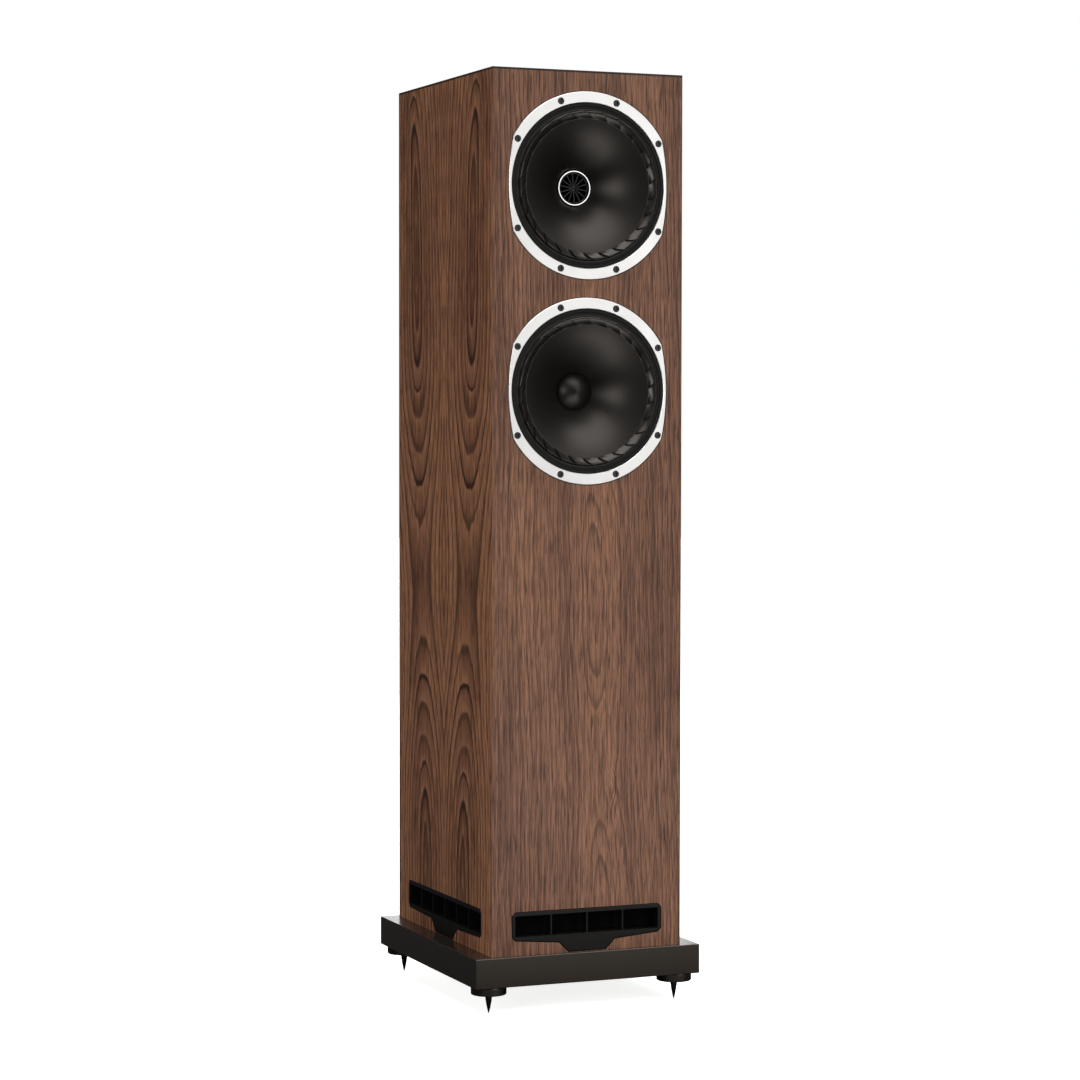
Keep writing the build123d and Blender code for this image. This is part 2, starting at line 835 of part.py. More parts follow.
with BuildPart() as driver_screws:
    for height in driver_heights:
        with BuildSketch(driver_front(height, -ring_proud - screw_head_proud)):
            with Locations(*screw_spots()):
                Circle(screw_head_radius)
        extrude(amount=screw_head_height + screw_head_proud)
    head_faces = driver_screws.faces().filter_by(Axis.Y).sort_by(Axis.Y)
    chamfer(head_faces[: 2 * len(screw_angles)].edges(), screw_head_edge)
    for height in driver_heights:
        with BuildSketch(driver_front(height, -ring_proud - screw_head_proud)):
            with Locations(*screw_spots()):
                RegularPolygon(screw_socket_radius, 6)
        extrude(amount=screw_socket_depth, mode=Mode.SUBTRACT)
        with BuildSketch(driver_front(height, screw_head_height - ring_proud)):
            with Locations(*screw_spots()):
                Circle(screw_shank)
        extrude(amount=screw_end - screw_head_height + ring_proud)
save(driver_screws, "driver_screws")

# ---- lower drive unit: dust cap ------------------------------------------------------------------

cap_radius = 22.4
cap_apex = 32.5
cap_skin = 1.1

cap_shoulder = 44.2
cap_bulge = (12.3, 36.6)


def dome(section, apex, bulge, edge, base):
    """A solid dome's profile: up the axis, over an arc to its edge, and back along its base."""
    with BuildSketch(section) as profile:
        with BuildLine():
            Line((0, base), (0, apex))
            ThreePointArc((0, apex), bulge, edge)
            Polyline(edge, (edge[0], base), (0, base))
        make_face()
    return profile.sketch


with BuildPart() as lower_dust_cap:
    cap_section = driver_section(lower_driver)
    cap_axis = driver_axis(lower_driver)
    cap_solid = dome(cap_section, cap_apex, cap_bulge, (cap_radius, cap_shoulder), throat_depth)
    revolve(cap_solid, axis=cap_axis)
    hollow_bulge = (cap_bulge[0] - 0.4, cap_bulge[1] + cap_skin)
    hollow_edge = (cap_radius - cap_skin, cap_shoulder + cap_skin / 2)
    cap_hollow = dome(cap_section, cap_apex + cap_skin, hollow_bulge, hollow_edge, throat_depth)
    revolve(cap_hollow, axis=cap_axis, mode=Mode.SUBTRACT)
save(lower_dust_cap, "lower_dust_cap")

# ---- upper drive unit: tweeter on the woofer's axis ----------------------------------------------

throat_front = 43.8
throat_outer = 21.5
throat_lip = 19.8
plug_outer = 18.95
plug_front = 46.0
plug_back = 60.0
horn_bore = 12.7
vane_count = 14
vane_thickness = 1.2
vane_start = 9
vane_setback = 1.0
throat_sleeve = 19.4
horn_middle = (14.2, 82)
plug_rim = 1.2
spear_radius = 5.5
spear_front = plug_front - 1
spear_shoulder = plug_front + 3
spear_tip_radius = 1.5
spear_tail = plug_back + 8

with BuildPart() as tweeter_throat:
    with BuildSketch(driver_section(upper_driver)):
        with BuildLine():
            Polyline(
                (plug_outer + running_gap, plug_back),
                (plug_outer + running_gap, throat_front + 1.2),
                (throat_lip, throat_front),
                (throat_outer - 0.4, throat_front),
                (throat_outer, throat_front + 0.4),
                (throat_outer, pole_front),
                (throat_sleeve, pole_front),
                (throat_sleeve, yoke_back),
                (horn_bore, yoke_back),
            )
            ThreePointArc((horn_bore, yoke_back), horn_middle, (plug_outer + running_gap, plug_back))
        make_face()
    revolve(axis=driver_axis(upper_driver))
save(tweeter_throat, "tweeter_throat")

with BuildPart() as phase_plug:
    rim_outline = (
        (plug_outer - plug_rim, plug_front),
        (plug_outer, plug_front),
        (plug_outer, plug_back),
        (plug_outer - plug_rim, plug_back),
    )
    revolve(outline(driver_section(upper_driver), *rim_outline), axis=driver_axis(upper_driver))
    with BuildSketch(driver_front(upper_driver, plug_front + vane_setback)):
        with PolarLocations(plug_outer / 2, vane_count, start_angle=vane_start):
            Rectangle(plug_outer - 1.0, vane_thickness)
    extrude(amount=plug_back - plug_front - vane_setback)
    with BuildSketch(driver_section(upper_driver)):
        with BuildLine():
            Polyline(
                (0, spear_front),
                (0, spear_tail),
                (spear_tip_radius, spear_tail),
                (spear_radius, plug_back),
                (spear_radius, spear_shoulder),
            )
            RadiusArc((spear_radius, spear_shoulder), (0, spear_front), 6)
        make_face()
    revolve(axis=driver_axis(upper_driver))
save(phase_plug, "phase_plug")

diaphragm_radius = 12.8
diaphragm_skin = 0.4
diaphragm_apex = yoke_back + 0.6
diaphragm_edge = yoke_back + 3.0
diaphragm_base = yoke_back + 10.0

with BuildPart() as tweeter_diaphragm:
    dome_section = driver_section(upper_driver)
    for skin, mode in ((0, Mode.ADD), (diaphragm_skin, Mode.SUBTRACT)):
        dome_bulge = (7.0, diaphragm_apex + 0.7 + skin)
        dome_edge = (diaphragm_radius - skin, diaphragm_edge + skin)
        dome_profile = dome(dome_section, diaphragm_apex + skin, dome_bulge, dome_edge, diaphragm_base)
        revolve(dome_profile, axis=driver_axis(upper_driver), mode=mode)
save(tweeter_diaphragm, "tweeter_diaphragm")

motor_radius = 32.0
motor_length = 30.0
motor_edge = 1.5
chamber_radius = 14.0
chamber_depth = 5.0
coil_slot_outer = 13.3
coil_slot_inner = 11.9
coil_slot_depth = 8.0

with BuildPart() as tweeter_motor:
    with BuildSketch(driver_front(upper_driver, yoke_back)):
        Circle(motor_radius)
    extrude(amount=motor_length)
    chamfer(tweeter_motor.edges(), motor_edge)
    with BuildSketch(driver_front(upper_driver, yoke_back)):
        Circle(chamber_radius)
    extrude(amount=chamber_depth, mode=Mode.SUBTRACT)
    with BuildSketch(driver_front(upper_driver, yoke_back + chamber_depth)):
        Circle(coil_slot_outer)
        Circle(coil_slot_inner, mode=Mode.SUBTRACT)
    extrude(amount=coil_slot_depth, mode=Mode.SUBTRACT)
save(tweeter_motor, "tweeter_motor")

# ---- terminals -----------------------------------------------------------------------------------
# A plate let into the rear panel carries two posts. Each post's cap screws off on a captive washer.

terminal_height = cabinet_base + terminal_centre
post_spacing = 40.0
post_places = {"black": post_spacing / 2, "red": -post_spacing / 2}
stud_radius = 2.9
socket_radius = 2.0
socket_depth = 14.0
collar_radius = 9.0
collar_height = 3.0
washer_radius = 7.5
washer_thickness = 2.0
cap_outside = 8.5
cap_ribs = 18
cap_start = collar_height + washer_thickness
cap_length = post_reach - cap_start
cap_collar = 3.0
cap_rib_radius = 0.8
neck_radius = 5.0
neck_length = 6.0
stud_tail = 8.0
stud_top = post_reach - 1
screw_recess = 1.4
screw_cap_radius = 3.2
screw_key_radius = 1.5
screw_key_depth = 1.0


def rear_plane(x, out):
    """A plane behind the cabinet at a post, facing away from it."""
    return Plane(origin=(x, rear_face + out, terminal_height), x_dir=(-1, 0, 0), z_dir=(0, 1, 0))


with BuildPart() as terminal_plate:
    with BuildSketch(rear_plane(0, -terminal_thickness)):
        RectangleRounded(terminal_wide, terminal_tall, terminal_corner)
        with Locations(*[(-x, 0) for x in post_places.values()]):
            Circle(neck_radius + running_gap, mode=Mode.SUBTRACT)
        with GridLocations(terminal_screw_wide, terminal_screw_tall, 2, 2):
            Circle(terminal_screw_radius + 0.3, mode=Mode.SUBTRACT)
    extrude(amount=terminal_thickness)
    chamfer(terminal_plate.faces().sort_by(Axis.Y)[-1].outer_wire().edges(), 0.4)
save(terminal_plate, "terminal_plate")

with BuildPart() as terminal_posts:
    for x in post_places.values():
        with BuildSketch(rear_plane(x, 0)):
            Circle(collar_radius)
        extrude(amount=collar_height)
        with BuildSketch(rear_plane(x, -terminal_thickness - neck_length)):
            Circle(neck_radius)
        extrude(amount=terminal_thickness + neck_length)
        with BuildSketch(rear_plane(x, -wall - stud_tail)):
            Circle(stud_radius)
        extrude(amount=wall + stud_tail + stud_top)
        with BuildSketch(rear_plane(x, stud_top - socket_depth)):
            Circle(socket_radius)
        extrude(amount=socket_depth, mode=Mode.SUBTRACT)
save(terminal_posts, "terminal_posts")

with BuildPart() as terminal_screws:
    for dx in (-terminal_screw_wide / 2, terminal_screw_wide / 2):
        for dz in (-terminal_screw_tall / 2, terminal_screw_tall / 2):
            head_low = (dx, rear_face + screw_recess, terminal_height + dz)
            spot = Plane(origin=head_low, x_dir=(-1, 0, 0), z_dir=(0, -1, 0))
            with BuildSketch(spot):
                Circle(screw_cap_radius)
                RegularPolygon(screw_key_radius, 6, mode=Mode.SUBTRACT)
            extrude(amount=screw_key_depth)
            with BuildSketch(spot.offset(screw_key_depth)):
                Circle(screw_cap_radius)
            extrude(amount=screw_recess - screw_key_depth)
            with BuildSketch(spot.offset(screw_recess)):
                Circle(terminal_screw_radius)
            extrude(amount=terminal_screw_length)
save(terminal_screws, "terminal_screws")

for place, x in post_places.items():
    with BuildPart() as post_washer:
        with BuildSketch(rear_plane(x, collar_height)):
            Circle(washer_radius)
            Circle(stud_radius + running_gap, mode=Mode.SUBTRACT)
        extrude(amount=washer_thickness)
    save(post_washer, f"post_washer_{place}")

    with BuildPart() as post_cap:
        with BuildSketch(rear_plane(x, cap_start)):
            Circle(cap_outside)
            with PolarLocations(cap_outside + 0.35, cap_ribs):
                Circle(cap_rib_radius, mode=Mode.SUBTRACT)
        extrude(amount=cap_length - cap_collar)
        with BuildSketch(rear_plane(x, post_reach - cap_collar)):
            Circle(cap_outside - 1.0)
        extrude(amount=cap_collar)
        with BuildSketch(rear_plane(x, cap_start)):
            Circle(stud_radius + running_gap)
        extrude(amount=cap_length, mode=Mode.SUBTRACT)
    save(post_cap, f"post_cap_{place}")

# ---- crossover -----------------------------------------------------------------------------------

board_width = 150.0
board_tall = 150.0
board_thickness = 2.0
board_standoff = 8.0
pillar_radius = 5.0
pillar_inset = 8.0
board_middle = cabinet_base + 335.0
board_face = inner_rear - board_standoff - board_thickness


def board_plane(out=0.0):
    """The crossover board's component side, facing the front of the cabinet."""
    return Plane(origin=(0, board_face - out, board_middle), x_dir=(1, 0, 0), z_dir=(0, -1, 0))


with BuildPart() as crossover_board:
    with BuildSketch(board_plane(-board_thickness)):
        Rectangle(board_width, board_tall)
    extrude(amount=board_thickness)
    with BuildSketch(board_plane(-board_thickness)):
        with GridLocations(board_width - 2 * pillar_inset, board_tall - 2 * pillar_inset, 2, 2):
            Circle(pillar_radius)
    extrude(amount=-board_standoff)
save(crossover_board, "crossover_board")

# coils by place on the board (x, z), radius and height; capacitors by middle, radius and length
coils = ((-46, 44, 24, 20), (46, 44, 20, 18), (46, -44, 16, 14))
capacitors = ((-42, -22, 9, 46), (-42, -50, 11, 52), (13, -60, 7, 26), (0, 12, 10, 48))

with BuildPart() as crossover_coils:
    for x, z, radius, tall in coils:
        with BuildSketch(board_plane()):
            with Locations((x, z)):
                Circle(radius)
                Circle(radius * 0.45, mode=Mode.SUBTRACT)
        extrude(amount=tall)
    chamfer(crossover_coils.edges().filter_by(GeomType.CIRCLE), 1.2)
save(crossover_coils, "crossover_coils")

with BuildPart() as crossover_capacitors:
    for x, z, radius, length in capacitors:
        near_end = (x - length / 2, board_face - radius, board_middle + z)
        with BuildSketch(Plane(origin=near_end, z_dir=(1, 0, 0))):
            Circle(radius)
        extrude(amount=length)
    chamfer(crossover_capacitors.edges().filter_by(GeomType.CIRCLE), 1.0)
save(crossover_capacitors, "crossover_capacitors")

# ---- wiring ----------------------------------------------------------------------------------------

loom_radius = 2.4


def corner_radii(points):
    """The largest arc that each corner of a route leaves room for."""
    radii = []
    for before, corner, after in zip(points, points[1:], points[2:]):
        run_in = Vector(*corner) - Vector(*before)
        run_out = Vector(*after) - Vector(*corner)
        turn = radians(run_in.get_angle(run_out))
        radii.append(0.45 * min(run_in.length, run_out.length) / tan(turn / 2))
    return radii


loom_routes = {
    "terminals to crossover": [
        (14, inner_rear - 13, terminal_height + 6),
        (13, inner_rear - 34, terminal_height + 9),
        (9, inner_rear - 48, terminal_height + 34),
        (2, inner_rear - 52, terminal_height + 68),
        (-5, inner_rear - 46, terminal_height + 104),
        (-8, board_face - 3, board_middle - 40),
    ],
    "crossover to lower drive unit": [
        (-8, board_face - 3, board_middle + 62),
        (-10, board_face - 28, board_middle + 66),
        (-24, board_face - 50, board_middle + 96),
        (-34, board_face - 60, board_middle + 146),
        (-36, board_face - 78, board_middle + 196),
        (-30, board_face - 124, board_middle + 226),
        (-18, board_face - 176, board_middle + 238),
        (-6, front_face + 62, lower_driver - 114),
        (0, front_face + 40, lower_driver - 82),
    ],
    "crossover to upper drive unit": [
        (12, board_face - 3, board_middle + 66),
        (16, board_face - 26, board_middle + 70),
        (34, board_face - 44, board_middle + 96),
        (44, board_face - 48, board_middle + 150),
        (46, board_face - 56, board_middle + 208),
        (44, board_face - 54, board_middle + 268),
        (46, board_face - 57, board_middle + 328),
        (45, board_face - 54, board_middle + 388),
        (47, board_face - 56, board_middle + 448),
        (45, board_face - 60, board_middle + 506),
        (40, board_face - 66, board_middle + 560),
        (26, board_face - 84, upper_driver - 14),
        (12, board_face - 116, upper_driver),
        (10, front_face + yoke_back + 33, upper_driver + 2),
    ],
}

with BuildPart() as wiring_looms:
    for route in loom_routes.values():
        with BuildLine() as path:
            FilletPolyline(*route, radius=corner_radii(route))
        with BuildSketch(Plane(origin=path.wire() @ 0, z_dir=path.wire() % 0)):
            Circle(loom_radius)
        sweep(path=path.wire())
save(wiring_looms, "wiring_looms")
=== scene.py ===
"""A floorstanding loudspeaker in walnut veneer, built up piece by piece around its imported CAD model."""

import math

import bmesh
import bpy
import numpy as np
from mathutils import Matrix, Vector


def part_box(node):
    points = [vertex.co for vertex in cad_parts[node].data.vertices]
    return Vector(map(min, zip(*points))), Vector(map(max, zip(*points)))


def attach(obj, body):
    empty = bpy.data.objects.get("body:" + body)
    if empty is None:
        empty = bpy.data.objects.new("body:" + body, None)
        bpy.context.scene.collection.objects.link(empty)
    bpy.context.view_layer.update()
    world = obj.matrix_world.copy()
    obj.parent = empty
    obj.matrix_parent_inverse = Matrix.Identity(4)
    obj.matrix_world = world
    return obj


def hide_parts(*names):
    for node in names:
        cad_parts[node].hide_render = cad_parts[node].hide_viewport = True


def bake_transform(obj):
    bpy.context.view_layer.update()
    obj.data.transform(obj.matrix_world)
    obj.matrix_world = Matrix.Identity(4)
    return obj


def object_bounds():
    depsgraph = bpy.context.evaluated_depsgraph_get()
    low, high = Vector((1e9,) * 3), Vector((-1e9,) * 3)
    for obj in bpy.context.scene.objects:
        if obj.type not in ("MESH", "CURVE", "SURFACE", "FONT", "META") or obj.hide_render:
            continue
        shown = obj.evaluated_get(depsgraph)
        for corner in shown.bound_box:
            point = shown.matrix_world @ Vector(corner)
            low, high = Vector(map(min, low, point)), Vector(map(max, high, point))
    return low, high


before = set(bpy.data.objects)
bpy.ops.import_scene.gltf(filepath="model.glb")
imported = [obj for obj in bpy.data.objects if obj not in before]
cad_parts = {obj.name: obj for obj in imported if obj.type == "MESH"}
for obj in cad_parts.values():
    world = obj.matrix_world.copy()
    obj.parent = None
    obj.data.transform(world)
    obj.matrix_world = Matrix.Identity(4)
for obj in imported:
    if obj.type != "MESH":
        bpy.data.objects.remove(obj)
cad_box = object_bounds()
scene = bpy.context.scene
MM = 0.001

# Camera. It stands in front of the cabinet's left corner, a little above half its height,
# with a long lens, so that upright edges stay almost parallel.
baffle_low, baffle_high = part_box("front_baffle")
camera = bpy.data.objects.new("camera", bpy.data.cameras.new("camera"))
scene.collection.objects.link(camera)
camera.location = (-1.4492, baffle_low.y - 3.3496, baffle_low.z + 0.6537)
camera_turn = (
    Matrix.Rotation(math.radians(-22.48), 4, "Z")
    @ Matrix.Rotation(math.radians(90 - 2.24), 4, "X")
    @ Matrix.Rotation(math.radians(0.07), 4, "Z")
)
camera.rotation_euler = camera_turn.to_euler()
camera.data.sensor_width = 36
camera.data.lens = 100.07
camera.data.shift_y = -0.006
camera.data.clip_end = 60
scene.camera = camera


# Floor. A plain pale studio floor, a shallow round sheet that fades into the white room.
# The four spike tips stand on it. It is white to the eye; only a patch in front throws light back.
def wire(tree, kind, inputs=None, **settings):
    """Adds one shader node, sets it up, and joins or fills its inputs."""
    node = tree.nodes.new("ShaderNode" + kind)
    for name, value in settings.items():
        setattr(node, name, value)
    for name, value in (inputs or {}).items():
        if isinstance(value, bpy.types.NodeSocket):
            tree.links.new(value, node.inputs[name])
        else:
            node.inputs[name].default_value = value
    return node


def tint(red, green, blue):
    """A colour as a paint card gives it, 0 to 255, turned into light."""
    parts = [c / 255 for c in (red, green, blue)]
    return [c / 12.92 if c <= 0.04045 else ((c + 0.055) / 1.055) ** 2.4 for c in parts] + [1.0]


def start_finish(name, roughness=0.5, metallic=0.0, **shader):
    """A new material with its shader; names such as coat_weight fill the shader's own sockets."""
    material = bpy.data.materials.new(name)
    material.use_nodes = True
    tree = material.node_tree
    surface = tree.nodes["Principled BSDF"]
    surface.inputs["Roughness"].default_value = roughness
    surface.inputs["Metallic"].default_value = metallic
    for socket, value in shader.items():
        surface.inputs[socket.replace("_", " ").title().replace("Ior", "IOR")].default_value = value
    return material, tree, surface


def blend_colour(tree, factor, first, second, kind="MIX"):
    node = wire(tree, "Mix", {"Factor": factor}, data_type="RGBA", blend_type=kind)
    for name, value in (("A", first), ("B", second)):
        socket = next(s for s in node.inputs if s.name == name and s.type == "RGBA")
        if isinstance(value, bpy.types.NodeSocket):
            tree.links.new(value, socket)
        else:
            socket.default_value = value
    return next(s for s in node.outputs if s.type == "RGBA")


def ramp(tree, value, *stops, smooth=False):
    """A curve of grey or colour through the (place, value) stops given."""
    node = wire(tree, "ValToRGB", {0: value})
    points = node.color_ramp.elements
    while len(points) < len(stops):
        points.new(0.5)
    for point, (position, shade) in zip(points, stops):
        point.position = position
        point.color = shade if isinstance(shade, list) else (shade, shade, shade, 1)
    node.color_ramp.interpolation = "EASE" if smooth else "LINEAR"
    return node.outputs["Color"]


def mesh_piece(name, verts, faces, material, smooth=True):
    """A mesh object from points and faces, with its faces turned outwards."""
    mesh = bpy.data.meshes.new(name)
    mesh.from_pydata([tuple(v) for v in verts], [], faces)
    shape = bmesh.new()
    shape.from_mesh(mesh)
    bmesh.ops.recalc_face_normals(shape, faces=shape.faces)
    shape.to_mesh(mesh)
    shape.free()
    if smooth:
        mesh.shade_smooth()
    mesh.materials.append(material)
    piece = bpy.data.objects.new(name, mesh)
    scene.collection.objects.link(piece)
    return piece


floor_paint, tree, surface = start_finish("floor_paint", roughness=0.75)
floor_place = wire(tree, "TexCoord").outputs["Object"]
floor_tone = wire(tree, "TexNoise", {"Vector": floor_place, "Scale": 3.0, "Detail": 3.0})
floor_colour = blend_colour(tree, floor_tone.outputs["Fac"], tint(246, 246, 245), tint(250, 250, 249))
tree.links.new(floor_colour, surface.inputs["Base Color"])
glow_white = wire(tree, "Emission", {"Color": tint(250, 250, 249), "Strength": 0.9})
seen_floor = wire(tree, "AddShader")
tree.links.new(surface.outputs[0], seen_floor.inputs[0])
tree.links.new(glow_white.outputs[0], seen_floor.inputs[1])
card_distance = wire(tree, "VectorMath", {0: floor_place, 1: (0.1, -1.1, 0)}, operation="DISTANCE")
card = ramp(tree, card_distance.outputs["Value"], (0.35, 0.62), (0.95, 0.05), smooth=True)
bounce = wire(tree, "BsdfDiffuse", {"Color": card})
floor_split = wire(tree, "MixShader", {0: wire(tree, "LightPath").outputs["Is Camera Ray"]})
tree.links.new(bounce.outputs[0], floor_split.inputs[1])
tree.links.new(seen_floor.outputs[0], floor_split.inputs[2])
tree.links.new(floor_split.outputs[0], tree.nodes["Material Output"].inputs["Surface"])
floor_radius, floor_sides = 14.0, 96
floor_ring = [2 * math.pi * k / floor_sides for k in range(floor_sides)]
floor = mesh_piece("floor", [(floor_radius * math.cos(a), floor_radius * math.sin(a), 0) for a in floor_ring],
                   [list(range(floor_sides))], floor_paint, smooth=False)

# Studio light. A wide light overhead, a big soft box on the right in front for the baffle and the
# rings, smaller ones on the left and behind, a low card that only shines in the cones, and a dim
# even glow from the white room.
aim = Vector((0, 0, (cad_box[0][2] + cad_box[1][2]) / 2))


def soft_box(name, place, width, height, power, target=aim):
    lamp = bpy.data.lights.new(name, "AREA")
    lamp.shape = "RECTANGLE"
    lamp.size, lamp.size_y = width, height
    lamp.energy = power
    lamp_object = bpy.data.objects.new(name, lamp)
    scene.collection.objects.link(lamp_object)
    lamp_object.location = place
    lamp_object.rotation_euler = (Vector(target) - Vector(place)).to_track_quat("-Z", "Y").to_euler()
    return lamp_object


soft_box("key_box", (1.9, -3.4, 1.45), 2.2, 3.0, 32)
soft_box("left_box", (-3.2, -2.5, 1.3), 1.0, 1.6, 46)
soft_box("rear_box", (0.9, 3.6, 1.5), 2.0, 2.0, 30)
low_card = soft_box("low_card", (0.08, -1.0, 0.03), 1.0, 0.45, 5.0, target=(0.08, -1.0, 2.0))
low_card.visible_camera = False
low_card.visible_diffuse = False
overhead = bpy.data.lights.new("overhead", "SUN")
overhead.energy = 4.0
overhead.angle = math.radians(70)
overhead.specular_factor = 0.75
overhead_object = bpy.data.objects.new("overhead", overhead)
scene.collection.objects.link(overhead_object)
overhead_object.rotation_euler = (Vector((-0.12, 0.30, -1.0))).to_track_quat("-Z", "Y").to_euler()

room = bpy.data.worlds.new("white_room")
scene.world = room
room.use_nodes = True
tree = room.node_tree
tree.nodes.clear()
seen = wire(tree, "Background", {"Color": (1, 1, 1, 1), "Strength": 1.0})
glow = wire(tree, "Background", {"Color": (1, 0.995, 0.985, 1), "Strength": 0.06})
room_mix = wire(tree, "MixShader", {0: wire(tree, "LightPath").outputs["Is Camera Ray"]})
tree.links.new(glow.outputs["Background"], room_mix.inputs[1])
tree.links.new(seen.outputs["Background"], room_mix.inputs[2])
tree.links.new(room_mix.outputs["Shader"], wire(tree, "OutputWorld").inputs["Surface"])
scene.view_settings.view_transform = "Standard"


# Cabinet walls. 20 mm fibreboard, mitred at the corners and faced outside with sliced walnut:
# book-matched crown-cut leaves on the sides, one calmer leaf in front, under a satin lacquer.
def sums(tree, operation, *terms, clamp=False):
    """One arithmetic node on sockets or numbers; gives its result."""
    node = wire(tree, "Math", operation=operation, use_clamp=clamp)
    for number, term in enumerate(terms):
        if isinstance(term, bpy.types.NodeSocket):
            tree.links.new(term, node.inputs[number])
        else:
            node.inputs[number].default_value = term
    return node.outputs[0]


def group_of(name, inputs, outputs):
    """An empty shader node group with named sockets: numbers, vectors or colours by their default."""
    kinds = {float: "NodeSocketFloat", tuple: "NodeSocketVector", list: "NodeSocketColor"}
    group = bpy.data.node_groups.new(name, "ShaderNodeTree")
    for label, value in inputs.items():
        socket = group.interface.new_socket(name=label, in_out="INPUT", socket_type=kinds[type(value)])
        socket.default_value = value
    for label, kind in outputs.items():
        group.interface.new_socket(name=label, in_out="OUTPUT", socket_type=kinds[kind])
    return group, wire_in(group), group.nodes.new("NodeGroupOutput")


def wire_in(group):
    return group.nodes.new("NodeGroupInput").outputs


walnut, given, result = group_of(
    "walnut_leaf",
    {
        "Place": (0.0, 0.0, 0.0),
        "Matched": 0.0,
        "Heart": 0.08,
        "Heart Drift": 0.0,
        "Eye Height": 0.87,
        "Eye Spacing": 0.8,
        "Shallowest": 0.004,
        "Swing": 0.02,
        "Ring Width": 0.006,
        "Wander": 0.02,
        "Line Strength": 0.6,
        "Band Strength": 0.6,
        "Heart Dark": 0.0,
        "Pore Strength": 0.5,
        "Pale": tint(150, 112, 86),
        "Brown": tint(104, 72, 52),
        "Dark Line": tint(48, 28, 19),
    },
    {"Colour": list, "Roughness": float, "Height": float},
)
# book-matched leaves are folded about the middle of the panel
leaf = wire(walnut, "SeparateXYZ", {0: given["Place"]}).outputs
folded = sums(walnut, "SUBTRACT", sums(walnut, "ABSOLUTE", leaf["X"]), leaf["X"])
across = sums(walnut, "MULTIPLY_ADD", folded, given["Matched"], leaf["X"])


def stretched(tree, across, along, fine, long, extra=0.0):
    """A place on the board squeezed so that a noise runs out in streaks along the grain."""
    return wire(tree, "CombineXYZ", {
        "X": sums(tree, "MULTIPLY", across, fine),
        "Y": sums(tree, "MULTIPLY", along, long),
        "Z": extra,
    }).outputs[0]


def noise(tree, place, scale=1.0, detail=2.0, rough=0.5):
    return wire(tree, "TexNoise", {"Vector": place, "Scale": scale, "Detail": detail,
                                   "Roughness": rough}).outputs["Fac"]


def line_noise(tree, position, scale, detail=1.0):
    return wire(tree, "TexNoise", {"W": position, "Scale": scale, "Detail": detail},
                noise_dimensions="1D").outputs["Fac"]


def long_side(tree, first, second):
    """The distance that two distances at right angles make."""
    return sums(tree, "SQRT", sums(tree, "ADD", sums(tree, "MULTIPLY", first, first),
                                   sums(tree, "MULTIPLY", second, second)))


# the leaf is a flat cut through a tree: how far each place lies from the heart, sideways and in depth
drift_noise = noise(walnut, stretched(walnut, across, leaf["Z"], 7.0, 2.2), detail=1.5)
wander = sums(walnut, "MULTIPLY", sums(walnut, "SUBTRACT", drift_noise, 0.5), given["Wander"])
small_wander = noise(walnut, stretched(walnut, across, leaf["Z"], 50.0, 16.0, 3.0), detail=3.0)
wander = sums(walnut, "MULTIPLY_ADD", sums(walnut, "SUBTRACT", small_wander, 0.5), 0.007, wander)
heart = sums(walnut, "MULTIPLY_ADD", sums(walnut, "SUBTRACT", leaf["Z"], 0.6), given["Heart Drift"],
             given["Heart"])
from_heart = sums(walnut, "ADD", sums(walnut, "SUBTRACT", across, heart), wander)
turn = sums(walnut, "DIVIDE", sums(walnut, "SUBTRACT", leaf["Z"], given["Eye Height"]), given["Eye Spacing"])
rise = sums(walnut, "SUBTRACT", 1.0, sums(walnut, "COSINE", sums(walnut, "MULTIPLY", turn, 2 * math.pi)))
depth = sums(walnut, "MULTIPLY_ADD", rise, given["Swing"], given["Shallowest"])
depth = sums(walnut, "MULTIPLY_ADD", wander, 0.6, sums(walnut, "MULTIPLY_ADD", leaf["Y"], 0.35, depth))
ring_radius = long_side(walnut, from_heart, depth)

# each year is a ring: pale early wood, then a dark line of late wood, bolder in some years
years = sums(walnut, "ADD", sums(walnut, "DIVIDE", ring_radius, given["Ring Width"]),
             sums(walnut, "MULTIPLY", line_noise(walnut, ring_radius, 42.0), 1.3))
season = sums(walnut, "FRACT", years)
year_mark = wire(walnut, "TexWhiteNoise", {"W": sums(walnut, "FLOOR", years)},
                 noise_dimensions="1D").outputs["Value"]
late_wood = ramp(walnut, season, (0.0, 0.0), (0.5, 0.0), (0.72, 0.4), (0.82, 1.0), (0.95, 1.0), (1.0, 0.0))
early_wood = ramp(walnut, season, (0.0, 0.2), (0.06, 1.0), (0.2, 0.6), (0.4, 0.0))
boldness = sums(walnut, "MULTIPLY_ADD", sums(walnut, "MULTIPLY", year_mark, year_mark), 0.6, 0.4)
late_wood = sums(walnut, "MULTIPLY", late_wood, boldness)

# tone: broad bands that follow the rings, clouds and fine streaks, and a darker heart
near_heart = sums(walnut, "DIVIDE", 1.0, sums(walnut, "ADD", 1.0, sums(
    walnut, "POWER", sums(walnut, "DIVIDE", ring_radius, 0.03), 2.0)))
band = line_noise(walnut, ring_radius, 38.0, 2.0)
cloud = noise(walnut, stretched(walnut, across, leaf["Z"], 16.0, 3.0, 7.0), detail=2.0)
streak = noise(walnut, stretched(walnut, across, leaf["Z"], 330.0, 9.0), detail=3.0, rough=0.65)
band_tone = sums(walnut, "MULTIPLY", sums(walnut, "SUBTRACT", band, 0.5), given["Band Strength"])
tone = sums(walnut, "ADD", band_tone, sums(walnut, "MULTIPLY", sums(walnut, "SUBTRACT", cloud, 0.5), 1.2))
tone = sums(walnut, "ADD", tone, sums(walnut, "MULTIPLY", sums(walnut, "SUBTRACT", streak, 0.5), 1.9))
tone = sums(walnut, "MULTIPLY_ADD", sums(walnut, "SUBTRACT", near_heart, 0.35), given["Heart Dark"], tone)
